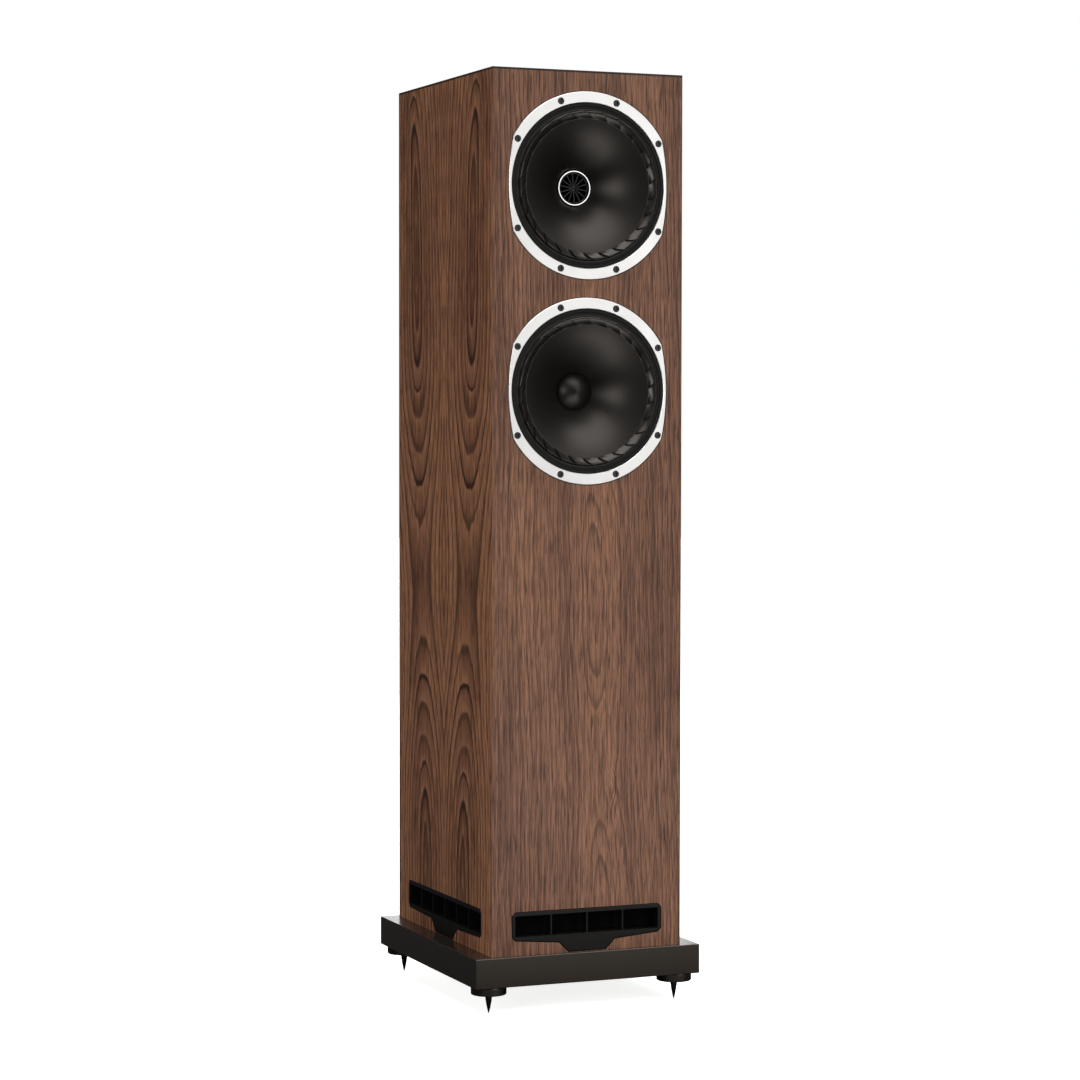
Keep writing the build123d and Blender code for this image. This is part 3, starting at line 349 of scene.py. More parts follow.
tone = sums(walnut, "ADD", tone, 0.5, clamp=True)
wood = blend_colour(walnut, tone, given["Pale"], given["Brown"])
bright_share = sums(walnut, "MULTIPLY", sums(walnut, "MULTIPLY", early_wood, given["Line Strength"]), 0.6,
                    clamp=True)
wood = blend_colour(walnut, bright_share, wood, given["Pale"])
line_share = sums(walnut, "MULTIPLY", late_wood, given["Line Strength"], clamp=True)
wood = blend_colour(walnut, line_share, wood, given["Dark Line"])

# open pores and flecks, cut along the grain
pore_noise = noise(walnut, stretched(walnut, across, leaf["Z"], 1050.0, 36.0, 1.0), detail=2.0, rough=0.6)
pores = ramp(walnut, pore_noise, (0.40, 1.0), (0.50, 0.0))
fleck_noise = noise(walnut, stretched(walnut, across, leaf["Z"], 620.0, 22.0, 5.0), detail=2.0)
flecks = ramp(walnut, fleck_noise, (0.38, 1.0), (0.50, 0.0))
grain_cut = sums(walnut, "ADD", sums(walnut, "MULTIPLY", pores, 0.5), sums(walnut, "MULTIPLY", flecks, 0.5))
pore_share = sums(walnut, "MULTIPLY", grain_cut, given["Pore Strength"], clamp=True)
wood = blend_colour(walnut, pore_share, wood, given["Dark Line"])
walnut.links.new(wood, result.inputs["Colour"])
walnut.links.new(sums(walnut, "MULTIPLY_ADD", grain_cut, 0.14, 0.42), result.inputs["Roughness"])
walnut.links.new(sums(walnut, "MULTIPLY", grain_cut, -1.0), result.inputs["Height"])

wall_low, wall_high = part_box("left_side_panel")
cabinet_middle = (wall_low.y + wall_high.y) / 2
veneer_skin = 0.12 * MM  # how deep the veneer shows on an edge
chamber_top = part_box("port_shelf")[1].z
board_brown, board_pale = tint(120, 88, 60), tint(146, 112, 80)
# painted shade: near black for the gaps at the cut edges and for the closed vent chamber
painted_shade_black = tint(14, 13, 12)
edge_line = tint(26, 15, 10)
edge_line_width = 2.6 * MM
knot_half_width, knot_half_height = 7.5 * MM, 24 * MM


def nearly(tree, coordinate, level, reach):
    """1 where a coordinate is within reach of a level, 0 elsewhere."""
    return sums(tree, "LESS_THAN", sums(tree, "ABSOLUTE", sums(tree, "SUBTRACT", coordinate, level)), reach)


def board_finish(name, face, level, corners, leaf_axes, values, knot=None):
    """Veneer on the wall's outer face; the cut edges near that face and the board inside the vent chamber carry
    painted shade in near black; bare board elsewhere inside.

    face is the axis that the outer face looks along, and level where it stands; corners are the
    (axis, level) pairs of its sharp edges; leaf_axes say which way the grain lies.
    """
    material, tree, surface = start_finish(name, coat_weight=0.06, coat_roughness=0.3, specular_ior_level=0.35)
    place = wire(tree, "SeparateXYZ", {0: wire(tree, "TexCoord").outputs["Object"]}).outputs
    over, shift, up = leaf_axes
    leaf_place = wire(tree, "CombineXYZ", {
        "X": sums(tree, "SUBTRACT", place[over], shift),
        "Y": 0.0,
        "Z": place[up],
    }).outputs[0]
    if knot:
        knot_across, knot_up = knot
        off_across = sums(tree, "DIVIDE", sums(tree, "SUBTRACT", place[over], knot_across), knot_half_width)
        off_up = sums(tree, "DIVIDE", sums(tree, "SUBTRACT", place[up], knot_up), knot_half_height)
        spread = sums(tree, "ADD", sums(tree, "MULTIPLY", off_across, off_across),
                      sums(tree, "MULTIPLY", off_up, off_up))
        swell = sums(tree, "POWER", math.e, sums(tree, "MULTIPLY", spread, -1.0))
        leaf_place = wire(tree, "CombineXYZ", {
            "X": sums(tree, "MULTIPLY_ADD", swell, -0.006, sums(tree, "SUBTRACT", place[over], shift)),
            "Y": sums(tree, "MULTIPLY", swell, 0.02),
            "Z": place[up],
        }).outputs[0]
    leaf_node = wire(tree, "Group", node_tree=walnut)
    tree.links.new(leaf_place, leaf_node.inputs["Place"])
    for label, value in values.items():
        leaf_node.inputs[label].default_value = value
    colour = leaf_node.outputs["Colour"]
    if knot:
        core_across = sums(tree, "MULTIPLY", sums(tree, "MULTIPLY", off_across, off_across), 14.0)
        core_up = sums(tree, "MULTIPLY", sums(tree, "MULTIPLY", off_up, off_up), 2.6)
        core = sums(tree, "LESS_THAN", sums(tree, "ADD", core_across, core_up), 0.6)
        colour = blend_colour(tree, sums(tree, "MULTIPLY", core, 0.75), colour, tint(52, 30, 20))
    for axis, corner in corners:
        on_edge = nearly(tree, place[axis], corner, edge_line_width)
        colour = blend_colour(tree, sums(tree, "MULTIPLY", on_edge, 0.9), colour, edge_line)
    board_noise = noise(tree, wire(tree, "TexCoord").outputs["Object"], scale=900.0, detail=2.0)
    board = blend_colour(tree, board_noise, board_brown, board_pale)
    # painted shade on the cut edges near the outer face and on the board inside the vent chamber
    in_chamber = sums(tree, "LESS_THAN", place["Z"], chamber_top)
    near_face = nearly(tree, place[face], level, 9.0 * MM)
    board = blend_colour(tree, sums(tree, "MAXIMUM", in_chamber, near_face), board, painted_shade_black)
    outside = nearly(tree, place[face], level, veneer_skin)
    tree.links.new(blend_colour(tree, outside, board, colour), surface.inputs["Base Color"])
    tree.links.new(sums(tree, "MULTIPLY_ADD", sums(tree, "SUBTRACT", leaf_node.outputs["Roughness"], 0.85),
                        outside, 0.85), surface.inputs["Roughness"])
    bump = wire(tree, "Bump", {"Strength": 0.35, "Distance": 0.0004, "Height": leaf_node.outputs["Height"]})
    tree.links.new(bump.outputs["Normal"], surface.inputs["Normal"])
    return material


def coat(material, *names):
    """Puts a finish on CAD nodes in place of the plain one they came with."""
    for name in names:
        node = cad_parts[name]
        node.data.materials.clear()
        node.data.materials.append(material)


side_leaf = {
    "Matched": 1.0, "Heart": 0.083, "Heart Drift": 0.045, "Eye Height": 0.94, "Eye Spacing": 0.84,
    "Shallowest": 0.002, "Swing": 0.036, "Ring Width": 0.0095, "Wander": 0.040, "Line Strength": 1.0,
    "Band Strength": 1.3, "Heart Dark": 0.6, "Pore Strength": 0.9,
    "Pale": tint(206, 144, 105), "Brown": tint(124, 77, 54), "Dark Line": tint(40, 20, 12),
}
front_leaf = {
    "Matched": 0.0, "Heart": 0.008, "Heart Drift": -0.02, "Eye Height": 0.50, "Eye Spacing": 0.42,
    "Shallowest": 0.004, "Swing": 0.010, "Ring Width": 0.0060, "Wander": 0.034, "Line Strength": 0.6,
    "Band Strength": 1.6, "Heart Dark": -0.6, "Pore Strength": 0.95,
    "Pale": tint(156, 109, 81), "Brown": tint(98, 63, 44), "Dark Line": tint(46, 26, 17),
}
top_edge = baffle_high.z
front_level, rear_level = baffle_low.y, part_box("rear_panel")[1].y
left_level, right_level = baffle_low.x, baffle_high.x
upright_edges = [("Z", top_edge)]
side_edges = [("Y", rear_level), ("Z", top_edge)]
rim_edges = [("X", left_level), ("X", right_level), ("Y", front_level), ("Y", rear_level)]
coat(board_finish("walnut_front", "Y", front_level, upright_edges, ("X", 0.0, "Z"), front_leaf,
                  knot=(0.0375, 0.272)), "front_baffle")
coat(board_finish("walnut_rear", "Y", rear_level, upright_edges, ("X", -0.02, "Z"),
                  {**front_leaf, "Eye Height": 0.62, "Heart": -0.03}), "rear_panel")
coat(board_finish("walnut_left", "X", left_level, side_edges, ("Y", cabinet_middle, "Z"), side_leaf),
     "left_side_panel")
coat(board_finish("walnut_right", "X", right_level, side_edges, ("Y", cabinet_middle, "Z"),
                  {**side_leaf, "Eye Height": 0.72, "Heart": 0.08}), "right_side_panel")
coat(board_finish("walnut_top", "Z", top_edge, rim_edges, ("X", 0.0, "Y"),
                  {**side_leaf, "Eye Height": 0.1, "Heart": 0.06}), "top_panel")


# Inner boards. The base and the port shelf close the vent chamber; their near-black colour is painted shade of
# the closed chamber. The window braces above them are bare fibreboard, glued into the walls.
fine_skin, given, result = group_of(
    "fine_skin",
    {
        "Place": (0.0, 0.0, 0.0),
        "Grain": 1500.0,
        "First": tint(30, 30, 30),
        "Second": tint(40, 40, 40),
        "Smoothest": 0.3,
        "Roughest": 0.45,
        "Dust": 0.0,
    },
    {"Colour": list, "Roughness": float, "Height": float},
)
grain_noise = wire(fine_skin, "TexNoise", {"Vector": given["Place"], "Scale": given["Grain"], "Detail": 3.0,
                                           "Roughness": 0.6}).outputs["Fac"]
broad_noise = noise(fine_skin, given["Place"], scale=14.0, detail=3.0)
settle = ramp(fine_skin, noise(fine_skin, given["Place"], scale=45.0, detail=4.0), (0.5, 0.0), (0.75, 1.0))
skin_tone = sums(fine_skin, "ADD", sums(fine_skin, "MULTIPLY", grain_noise, 0.5),
                 sums(fine_skin, "MULTIPLY", broad_noise, 0.5), clamp=True)
skin_colour = blend_colour(fine_skin, skin_tone, given["First"], given["Second"])
skin_colour = blend_colour(fine_skin, sums(fine_skin, "MULTIPLY", settle, given["Dust"]), skin_colour,
                           tint(150, 146, 140))
fine_skin.links.new(skin_colour, result.inputs["Colour"])
rough_range = sums(fine_skin, "SUBTRACT", given["Roughest"], given["Smoothest"])
fine_skin.links.new(sums(fine_skin, "MULTIPLY_ADD", skin_tone, rough_range, given["Smoothest"]),
                    result.inputs["Roughness"])
fine_skin.links.new(grain_noise, result.inputs["Height"])


def skinned(name, first, second, smoothest, roughest, grain=1500.0, bump=0.1, depth=0.05 * MM, dust=0.0,
            metallic=0.0, **shader):
    """A moulded, painted or coated finish: a fine grain under a slight drift of tone."""
    material, tree, surface = start_finish(name, metallic=metallic, **shader)
    skin = wire(tree, "Group", node_tree=fine_skin)
    tree.links.new(wire(tree, "TexCoord").outputs["Object"], skin.inputs["Place"])
    for label, value in (("Grain", grain), ("First", first), ("Second", second), ("Smoothest", smoothest),
                         ("Roughest", roughest), ("Dust", dust)):
        skin.inputs[label].default_value = value
    tree.links.new(skin.outputs["Colour"], surface.inputs["Base Color"])
    tree.links.new(skin.outputs["Roughness"], surface.inputs["Roughness"])
    relief = wire(tree, "Bump", {"Strength": bump, "Distance": depth, "Height": skin.outputs["Height"]})
    tree.links.new(relief.outputs["Normal"], surface.inputs["Normal"])
    return material


# painted shade: this near-black colour stands for the shade inside the closed vent chamber
coat(skinned("chamber_shade_board", tint(16, 15, 14), tint(24, 22, 20), 0.7, 0.85, grain=700.0),
     "base_board", "port_shelf")
coat(skinned("bare_fibreboard", board_brown, board_pale, 0.8, 0.95, grain=900.0, bump=0.3), "window_braces")


# Port. A flared black plastic tube hangs in the shelf, above a turned diffuser that spreads its air
# sideways to the vents; both are moulded with a fine texture.
coat(skinned("port_moulding", tint(26, 26, 26), tint(36, 35, 34), 0.45, 0.6, grain=2200.0, bump=0.2),
     "port_tube", "port_diffuser")


# Vents. Satin black grilles, moulded in one piece and set flush in the foot of each wall.
coat(skinned("vent_moulding", tint(12, 10, 9), tint(18, 16, 14), 0.3, 0.42, grain=2600.0, bump=0.12,
             specular_ior_level=0.16),
     "front_vent_grille", "rear_vent_grille", "left_vent_grille", "right_vent_grille")


# Vent cloths. A black acoustic cloth is stretched behind each grille, so that nothing is seen through the
# cells; it is glued to the grille's back edge. Its near-black colour is painted shade, standing for the dark
# chamber behind the cells.
vent_shade_cloth, tree, surface = start_finish("vent_shade_cloth", roughness=0.95, specular_ior_level=0.1)
cloth_spot = wire(tree, "SeparateXYZ", {0: wire(tree, "TexCoord").outputs["Object"]}).outputs
thread_turns = 2 * math.pi / (0.8 * MM)
warp = sums(tree, "SINE", sums(tree, "MULTIPLY", sums(tree, "ADD", cloth_spot["X"], cloth_spot["Y"]),
                               thread_turns))
weft = sums(tree, "SINE", sums(tree, "MULTIPLY", cloth_spot["Z"], thread_turns))
threads = sums(tree, "MULTIPLY_ADD", sums(tree, "MULTIPLY", warp, weft), 0.5, 0.5)
# painted shade: the cloth's near-black colour stands for the shade in the chamber behind the cells
tree.links.new(blend_colour(tree, threads, tint(3, 3, 3), tint(12, 12, 12)), surface.inputs["Base Color"])
thread_relief = wire(tree, "Bump", {"Strength": 0.5, "Distance": 0.1 * MM, "Height": threads})
tree.links.new(thread_relief.outputs["Normal"], surface.inputs["Normal"])


cloth_inset, cloth_foot, cloth_head = 3 * MM, 20.5 * MM, 2 * MM
cloth_gap, cloth_hollow = 0.3 * MM, 0.6 * MM


def stretched_cloth(wall, across_axis, level):
    """A thin cloth sheet with a slight hollow between its glued edges, just behind one grille."""
    low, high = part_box(wall + "_vent_grille")
    half_width = (high[across_axis] - low[across_axis]) / 2 - cloth_inset
    bottom, top = baffle_low.z + cloth_foot, high.z - cloth_head
    across_middle = (high[across_axis] + low[across_axis]) / 2
    columns, rows, thickness = 24, 6, 0.4 * MM
    inwards = 1 if level < (0 if across_axis == 1 else cabinet_middle) else -1
    verts, faces = [], []
    for layer in (0, 1):
        for row in range(rows + 1):
            for column in range(columns + 1):
                u, v = 2 * column / columns - 1, 2 * row / rows - 1
                hollow = cloth_hollow * (1 - u * u) * (1 - v * v)
                point = [0.0, 0.0, (bottom + top) / 2 + v * (top - bottom) / 2]
                point[across_axis] = across_middle + u * half_width
                point[1 - across_axis] = level + inwards * (hollow + layer * thickness)
                verts.append(point)
    size = (columns + 1) * (rows + 1)
    for row in range(rows):
        for column in range(columns):
            k = row * (columns + 1) + column
            quad = [k, k + 1, k + columns + 2, k + columns + 1]
            faces += [quad, [q + size for q in reversed(quad)]]
    rim = list(range(columns))
    rim += [columns + r * (columns + 1) for r in range(rows)]
    rim += [rows * (columns + 1) + c for c in range(columns, 0, -1)]
    rim += [r * (columns + 1) for r in range(rows, 0, -1)]
    for k, point in enumerate(rim):
        after = rim[(k + 1) % len(rim)]
        faces.append([point, after, after + size, point + size])
    piece = mesh_piece(wall + "_vent_shade_cloth", verts, faces, vent_shade_cloth)
    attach(piece, "cabinet")


stretched_cloth("front", 0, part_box("front_vent_grille")[1].y + cloth_gap)
stretched_cloth("rear", 0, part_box("rear_vent_grille")[0].y - cloth_gap)
stretched_cloth("left", 1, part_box("left_vent_grille")[1].x + cloth_gap)
stretched_cloth("right", 1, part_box("right_vent_grille")[0].x - cloth_gap)


# Plinth. A thick board in smooth black lacquer, wider than the cabinet, held up to it by four
# bolts from below.
coat(skinned("black_lacquer", tint(33, 28, 23), tint(39, 33, 28), 0.2, 0.26, grain=60.0, bump=0.05,
             depth=0.03 * MM, specular_ior_level=0.42, specular_tint=(1.0, 0.9, 0.82, 1.0)), "plinth")
coat(skinned("blackened_steel", tint(40, 40, 42), tint(58, 57, 56), 0.18, 0.3, grain=1200.0, metallic=0.9),
     "plinth_bolts", "driver_screws", "terminal_screws")


# Feet. Each has a smooth adjusting wheel that turns on a threaded spike, and a brass bush
# in the plinth that keeps the spike from turning. Wheel and spike are black nickel plated steel.
turned, given, result = group_of(
    "turned_metal",
    {
        "Place": (0.0, 0.0, 0.0),
        "Lines": 1400.0,
        "First": tint(60, 58, 56),
        "Second": tint(80, 78, 75),
        "Smoothest": 0.18,
        "Roughest": 0.3,
    },
    {"Colour": list, "Roughness": float, "Height": float},
)
spot = wire(turned, "SeparateXYZ", {0: given["Place"]}).outputs
from_axis = long_side(turned, spot["X"], spot["Y"])
cut_place = wire(turned, "CombineXYZ", {"X": sums(turned, "MULTIPLY", from_axis, given["Lines"]), "Y": 0.0,
                                        "Z": sums(turned, "MULTIPLY", spot["Z"], given["Lines"])}).outputs[0]
cut_lines = noise(turned, cut_place, detail=2.0)
turned.links.new(blend_colour(turned, cut_lines, given["First"], given["Second"]), result.inputs["Colour"])
turned.links.new(sums(turned, "MULTIPLY_ADD", cut_lines, sums(turned, "SUBTRACT", given["Roughest"],
                                                             given["Smoothest"]), given["Smoothest"]),
                 result.inputs["Roughness"])
turned.links.new(cut_lines, result.inputs["Height"])


def lathed(name, axis_at, first, second, smoothest, roughest, lines=1400.0, bump=0.1, facing="Z", **shader):
    """Metal cut on a lathe about an upright axis, or one along the cabinet's depth when facing is Y."""
    material, tree, surface = start_finish(name, metallic=1.0, **shader)
    place = wire(tree, "SeparateXYZ", {0: wire(tree, "TexCoord").outputs["Object"]}).outputs
    sideways, depthways = ("X", "Y") if facing == "Z" else ("X", "Z")
    about = wire(tree, "CombineXYZ", {"X": sums(tree, "SUBTRACT", place[sideways], axis_at[0]),
                                      "Y": sums(tree, "SUBTRACT", place[depthways], axis_at[1]),
                                      "Z": place[facing]}).outputs[0]
    cuts = wire(tree, "Group", node_tree=turned)
    tree.links.new(about, cuts.inputs["Place"])
    for label, value in (("Lines", lines), ("First", first), ("Second", second), ("Smoothest", smoothest),
                         ("Roughest", roughest)):
        cuts.inputs[label].default_value = value
    tree.links.new(cuts.outputs["Colour"], surface.inputs["Base Color"])
    tree.links.new(cuts.outputs["Roughness"], surface.inputs["Roughness"])
    relief = wire(tree, "Bump", {"Strength": bump, "Distance": 0.02 * MM, "Height": cuts.outputs["Height"]})
    tree.links.new(relief.outputs["Normal"], surface.inputs["Normal"])
    return material


def middle(name):
    low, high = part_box(name)
    return (Vector(low) + Vector(high)) / 2


for place in ("front_left", "front_right", "rear_left", "rear_right"):
    wheel_middle = middle("foot_wheel_" + place)
    nickel = lathed("black_nickel_" + place, (wheel_middle.x, wheel_middle.y), tint(66, 61, 57),
                    tint(88, 82, 77), 0.2, 0.32)
    coat(nickel, "foot_wheel_" + place, "foot_spike_" + place)
brass = skinned("turned_brass", tint(200, 160, 84), tint(216, 178, 102), 0.2, 0.3, grain=1800.0, metallic=1.0)
coat(brass, "foot_bushes")


# Trim rings. Each is machined from aluminium plate, with bright chamfers and a satin face brushed
# one way, and lies in a shallow rebate over the driver's frame.
upper_height, lower_height = middle("upper_trim_ring").z, middle("lower_trim_ring").z


def ring_finish(name, height):
    material, tree, surface = start_finish(name, metallic=1.0, anisotropic=0.35)
    place = wire(tree, "TexCoord").outputs["Object"]
    turned_place = wire(tree, "Mapping", {"Vector": place, "Location": (0, 0, -height),
                                          "Rotation": (0, math.radians(38), 0)}, vector_type="POINT")
    brushed_place = wire(tree, "Mapping", {"Vector": turned_place.outputs[0], "Scale": (1500, 1500, 18)})
    brushing = noise(tree, brushed_place.outputs[0], detail=3.0, rough=0.7)
    haze = noise(tree, place, scale=30.0, detail=3.0)
    tree.links.new(blend_colour(tree, brushing, tint(222, 221, 218), tint(246, 245, 243)),
                   surface.inputs["Base Color"])
    tree.links.new(sums(tree, "ADD", sums(tree, "MULTIPLY", brushing, 0.12),
                        sums(tree, "MULTIPLY_ADD", haze, 0.1, 0.24)), surface.inputs["Roughness"])
    relief = wire(tree, "Bump", {"Strength": 0.14, "Distance": 0.03 * MM, "Height": brushing})
    tree.links.new(relief.outputs["Normal"], surface.inputs["Normal"])
    return material


coat(ring_finish("ring_satin_upper", upper_height), "upper_trim_ring")
coat(ring_finish("ring_satin_lower", lower_height), "lower_trim_ring")


# Driver frames and motors, behind the baffle: powder-coated die-cast baskets, ferrite ring magnets
# between zinc-plated plates, and copper voice coils.
coat(skinned("powder_coat", tint(30, 30, 30), tint(42, 42, 41), 0.5, 0.65, grain=1600.0, bump=0.35),
     "upper_basket", "lower_basket")
coat(skinned("ground_ferrite", tint(54, 55, 58), tint(70, 71, 74), 0.45, 0.6, grain=900.0, bump=0.2),
     "driver_magnets")
zinc = skinned("zinc_plate", tint(176, 174, 164), tint(200, 198, 186), 0.25, 0.4, grain=260.0, metallic=1.0)
coat(zinc, "driver_top_plates", "upper_back_plate", "lower_back_plate", "tweeter_motor")


def wound_copper(name, height, winding_from):
    """Enamelled wire in fine turns at the back of a blackened former."""
    material = lathed(name, (0.0, height), tint(186, 104, 62), tint(214, 134, 84), 0.25, 0.35, lines=5200.0,
                      bump=0.5, facing="Y")
    tree = material.node_tree
    surface = tree.nodes["Principled BSDF"]
    behind = sums(tree, "GREATER_THAN", wire(tree, "SeparateXYZ", {0: wire(tree, "TexCoord").outputs["Object"]})
                  .outputs["Y"], winding_from)
    copper = surface.inputs["Base Color"].links[0].from_socket
    tree.links.new(blend_colour(tree, behind, tint(18, 17, 17), copper), surface.inputs["Base Color"])
    return material


coil_low, coil_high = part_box("upper_voice_coil")
winding_from = coil_low.y + 0.55 * (coil_high.y - coil_low.y)
coat(wound_copper("wound_copper_upper", upper_height, winding_from), "upper_voice_coil")
coat(wound_copper("wound_copper_lower", lower_height, winding_from), "lower_voice_coil")


# Gaskets. Soft moulded rubber rings that clamp the edge of each surround, with a step inwards; thin near-black
# rings of painted shade mark the gaps where they meet the trim ring, at the step, and where they meet the
# surround.
gasket = skinned("gasket_moulding", tint(15, 13, 12), tint(21, 19, 17), 0.45, 0.6, grain=1400.0, bump=0.25,
                 specular_ior_level=0.2)
tree = gasket.node_tree
gasket_place = wire(tree, "SeparateXYZ", {0: wire(tree, "TexCoord").outputs["Object"]}).outputs
between_drivers, half_apart = (upper_height + lower_height) / 2, (upper_height - lower_height) / 2
from_between = sums(tree, "ABSOLUTE", sums(tree, "SUBTRACT", gasket_place["Z"], between_drivers))
off_axis = sums(tree, "SUBTRACT", from_between, half_apart)
gasket_radius = long_side(tree, off_axis, gasket_place["X"])
surface = tree.nodes["Principled BSDF"]
gasket_colour = surface.inputs["Base Color"].links[0].from_socket
# painted shade: near-black rings at the gaps by the trim ring, at the step and by the surround
for shade_gap_radius, reach in ((99.8 * MM, 0.9 * MM), (96.0 * MM, 0.6 * MM), (92.6 * MM, 0.8 * MM)):
    gasket_colour = blend_colour(tree, nearly(tree, gasket_radius, shade_gap_radius, reach), gasket_colour, tint(3, 3, 3))
tree.links.new(gasket_colour, surface.inputs["Base Color"])
coat(gasket, "driver_gaskets")


# Surrounds. A half roll of soft rubber round each cone, moulded with slanting overlapping flutes
# that keep it from ringing. Its outer edge is clamped, and its inner bead is glued to the cone.
face = baffle_low.y
flute_count = 26
flute_steps = (0.0, 0.012, 0.045, 0.1, 0.2, 0.35, 0.5, 0.65, 0.8, 0.9, 0.955, 0.985)
land_outer, roll_outer, roll_inner, bead_inner = 99.8 * MM, 91.4 * MM, 81.2 * MM, 80.5 * MM
land_depth, bead_depth, roll_height = 2.0 * MM, 2.0 * MM, 4.2 * MM
rubber_thickness = 0.8 * MM
crest_share = 0.22  # the roll stands steepest at its outer edge
flute_lip_at = 0.955
flute_lip_height = 2.9 * MM
flute_slant = math.radians(10)
lip_angle = math.radians(30)
roll_rows = 24


def roll_profile(share):
    """Height of the plain roll at a share of the way inwards: a steep wall, a ridge, a long fall."""
    if share < crest_share:
        return roll_height * math.sin(math.pi / 2 * share / crest_share) ** 0.8
    fall = (share - crest_share) / (1 - crest_share)
    return roll_height * (1 - fall ** 1.9) ** 0.9


def flute_rise(part, share):
    """How far a flute stands above the roll: it climbs slowly and then drops in a sharp lip."""
    climb = part / flute_lip_at if part < flute_lip_at else (1.0 - part) / (1.0 - flute_lip_at)
    fade = math.sin(math.pi * share) ** 0.3 if 0 < share < 1 else 0.0
    return flute_lip_height * (climb ** 1.5 - 0.45) * fade


def flute_edge(part, share):
    """How far a flute's straight outer edge stands in from the circle, and slews across it."""
    half_flute = math.pi / flute_count
    chord = roll_outer * (1 - math.cos(half_flute) / math.cos(half_flute * (2 * part - 1)))
    return (-chord + 0.5 * MM * (part - 0.5)) * (1 - share) * min(1.0, 8 * share)


def fluted_surround(name, height, material):
    verts, faces = [], []
    columns = flute_count * len(flute_steps)
    for flute in range(flute_count):
        for part in flute_steps:
            across_front = [(land_outer, land_depth, 0.0), (roll_outer + 0.6 * MM, land_depth, 0.0)]
            for row in range(roll_rows + 1):
                share = (row / roll_rows) ** 1.35
                radius = roll_outer + (roll_inner - roll_outer) * share + flute_edge(part, share)
                depth = land_depth - roll_profile(share) - flute_rise(part, share)
                across_front.append((radius, depth, share))
            across_front.append((bead_inner, bead_depth, 1.0))
            loop = across_front + [(r, d + rubber_thickness, s) for r, d, s in reversed(across_front)]
            for radius, depth, share in loop:
                angle = 2 * math.pi * (flute + part) / flute_count + flute_slant * (share - 0.5)
                verts.append((radius * math.sin(angle), face + depth, height + radius * math.cos(angle)))
    size = 2 * (roll_rows + 4)
    for column in range(columns):
        beside = (column + 1) % columns
        for k in range(size):
            after = (k + 1) % size
            faces.append((column * size + k, column * size + after, beside * size + after, beside * size + k))
    piece = mesh_piece(name, verts, faces, material)
    piece.data.set_sharp_from_angle(angle=lip_angle)
    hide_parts(name.replace("_fluted", ""))
    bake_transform(piece)
    return piece


soft_rubber = skinned("surround_rubber", tint(21, 18, 16), tint(28, 25, 22), 0.24, 0.36, grain=1500.0,
                      bump=0.12, specular_ior_level=0.4, specular_tint=(1.0, 0.92, 0.86, 1.0))
fluted_surround("upper_surround_fluted", upper_height, soft_rubber)
fluted_surround("lower_surround_fluted", lower_height, soft_rubber)


# Spiders. Resin-dipped cloth pressed into fine rings, which centre each voice coil behind the cone.
def pressed_spider(name, height, material):
    low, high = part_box(name.replace("_pressed", ""))
    outer, inner = (high.x - low.x) / 2, 22.6 * MM
    depth_middle = (low.y + high.y) / 2 - face
    rings, sides, thick = 64, 128, 0.45 * MM
    wave = min((high.y - low.y) / 2 - thick, 2.0 * MM)
    verts, faces = [], []
    front_rows = []
    for row in range(rings + 1):
        share = row / rings
        radius = outer + (inner - outer) * share
        flat = min(1.0, 8 * share, 8 * (1 - share))
        front_rows.append((radius, depth_middle - thick / 2 + wave * flat * math.sin(share * 7 * 2 * math.pi)))
    loop = front_rows + [(r, d + thick) for r, d in reversed(front_rows)]
    for side in range(sides):
        angle = 2 * math.pi * side / sides
        for radius, depth in loop:
            verts.append((radius * math.sin(angle), face + depth, height + radius * math.cos(angle)))
    size = len(loop)
    for side in range(sides):
        beside = (side + 1) % sides
        for k in range(size):
            after = (k + 1) % size
            faces.append((side * size + k, side * size + after, beside * size + after, beside * size + k))
    piece = mesh_piece(name, verts, faces, material)
    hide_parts(name.replace("_pressed", ""))
    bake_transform(piece)
    return piece


spider_cloth, tree, surface = start_finish("spider_cloth", roughness=0.8)
cloth_place = wire(tree, "TexCoord").outputs["Object"]
threads = wire(tree, "SeparateXYZ", {0: cloth_place}).outputs
thread_pitch = 2 * math.pi / (0.7 * MM)
weave = sums(tree, "MULTIPLY", sums(tree, "SINE", sums(tree, "MULTIPLY", threads["X"], thread_pitch)),
             sums(tree, "SINE", sums(tree, "MULTIPLY", threads["Z"], thread_pitch)))
weave = sums(tree, "MULTIPLY_ADD", weave, 0.5, 0.5)
tree.links.new(blend_colour(tree, weave, tint(168, 118, 48), tint(206, 156, 78)), surface.inputs["Base Color"])
cloth_relief = wire(tree, "Bump", {"Strength": 0.6, "Distance": 0.1 * MM, "Height": weave})
tree.links.new(cloth_relief.outputs["Normal"], surface.inputs["Normal"])
pressed_spider("upper_spider_pressed", upper_height, spider_cloth)
pressed_spider("lower_spider_pressed", lower_height, spider_cloth)


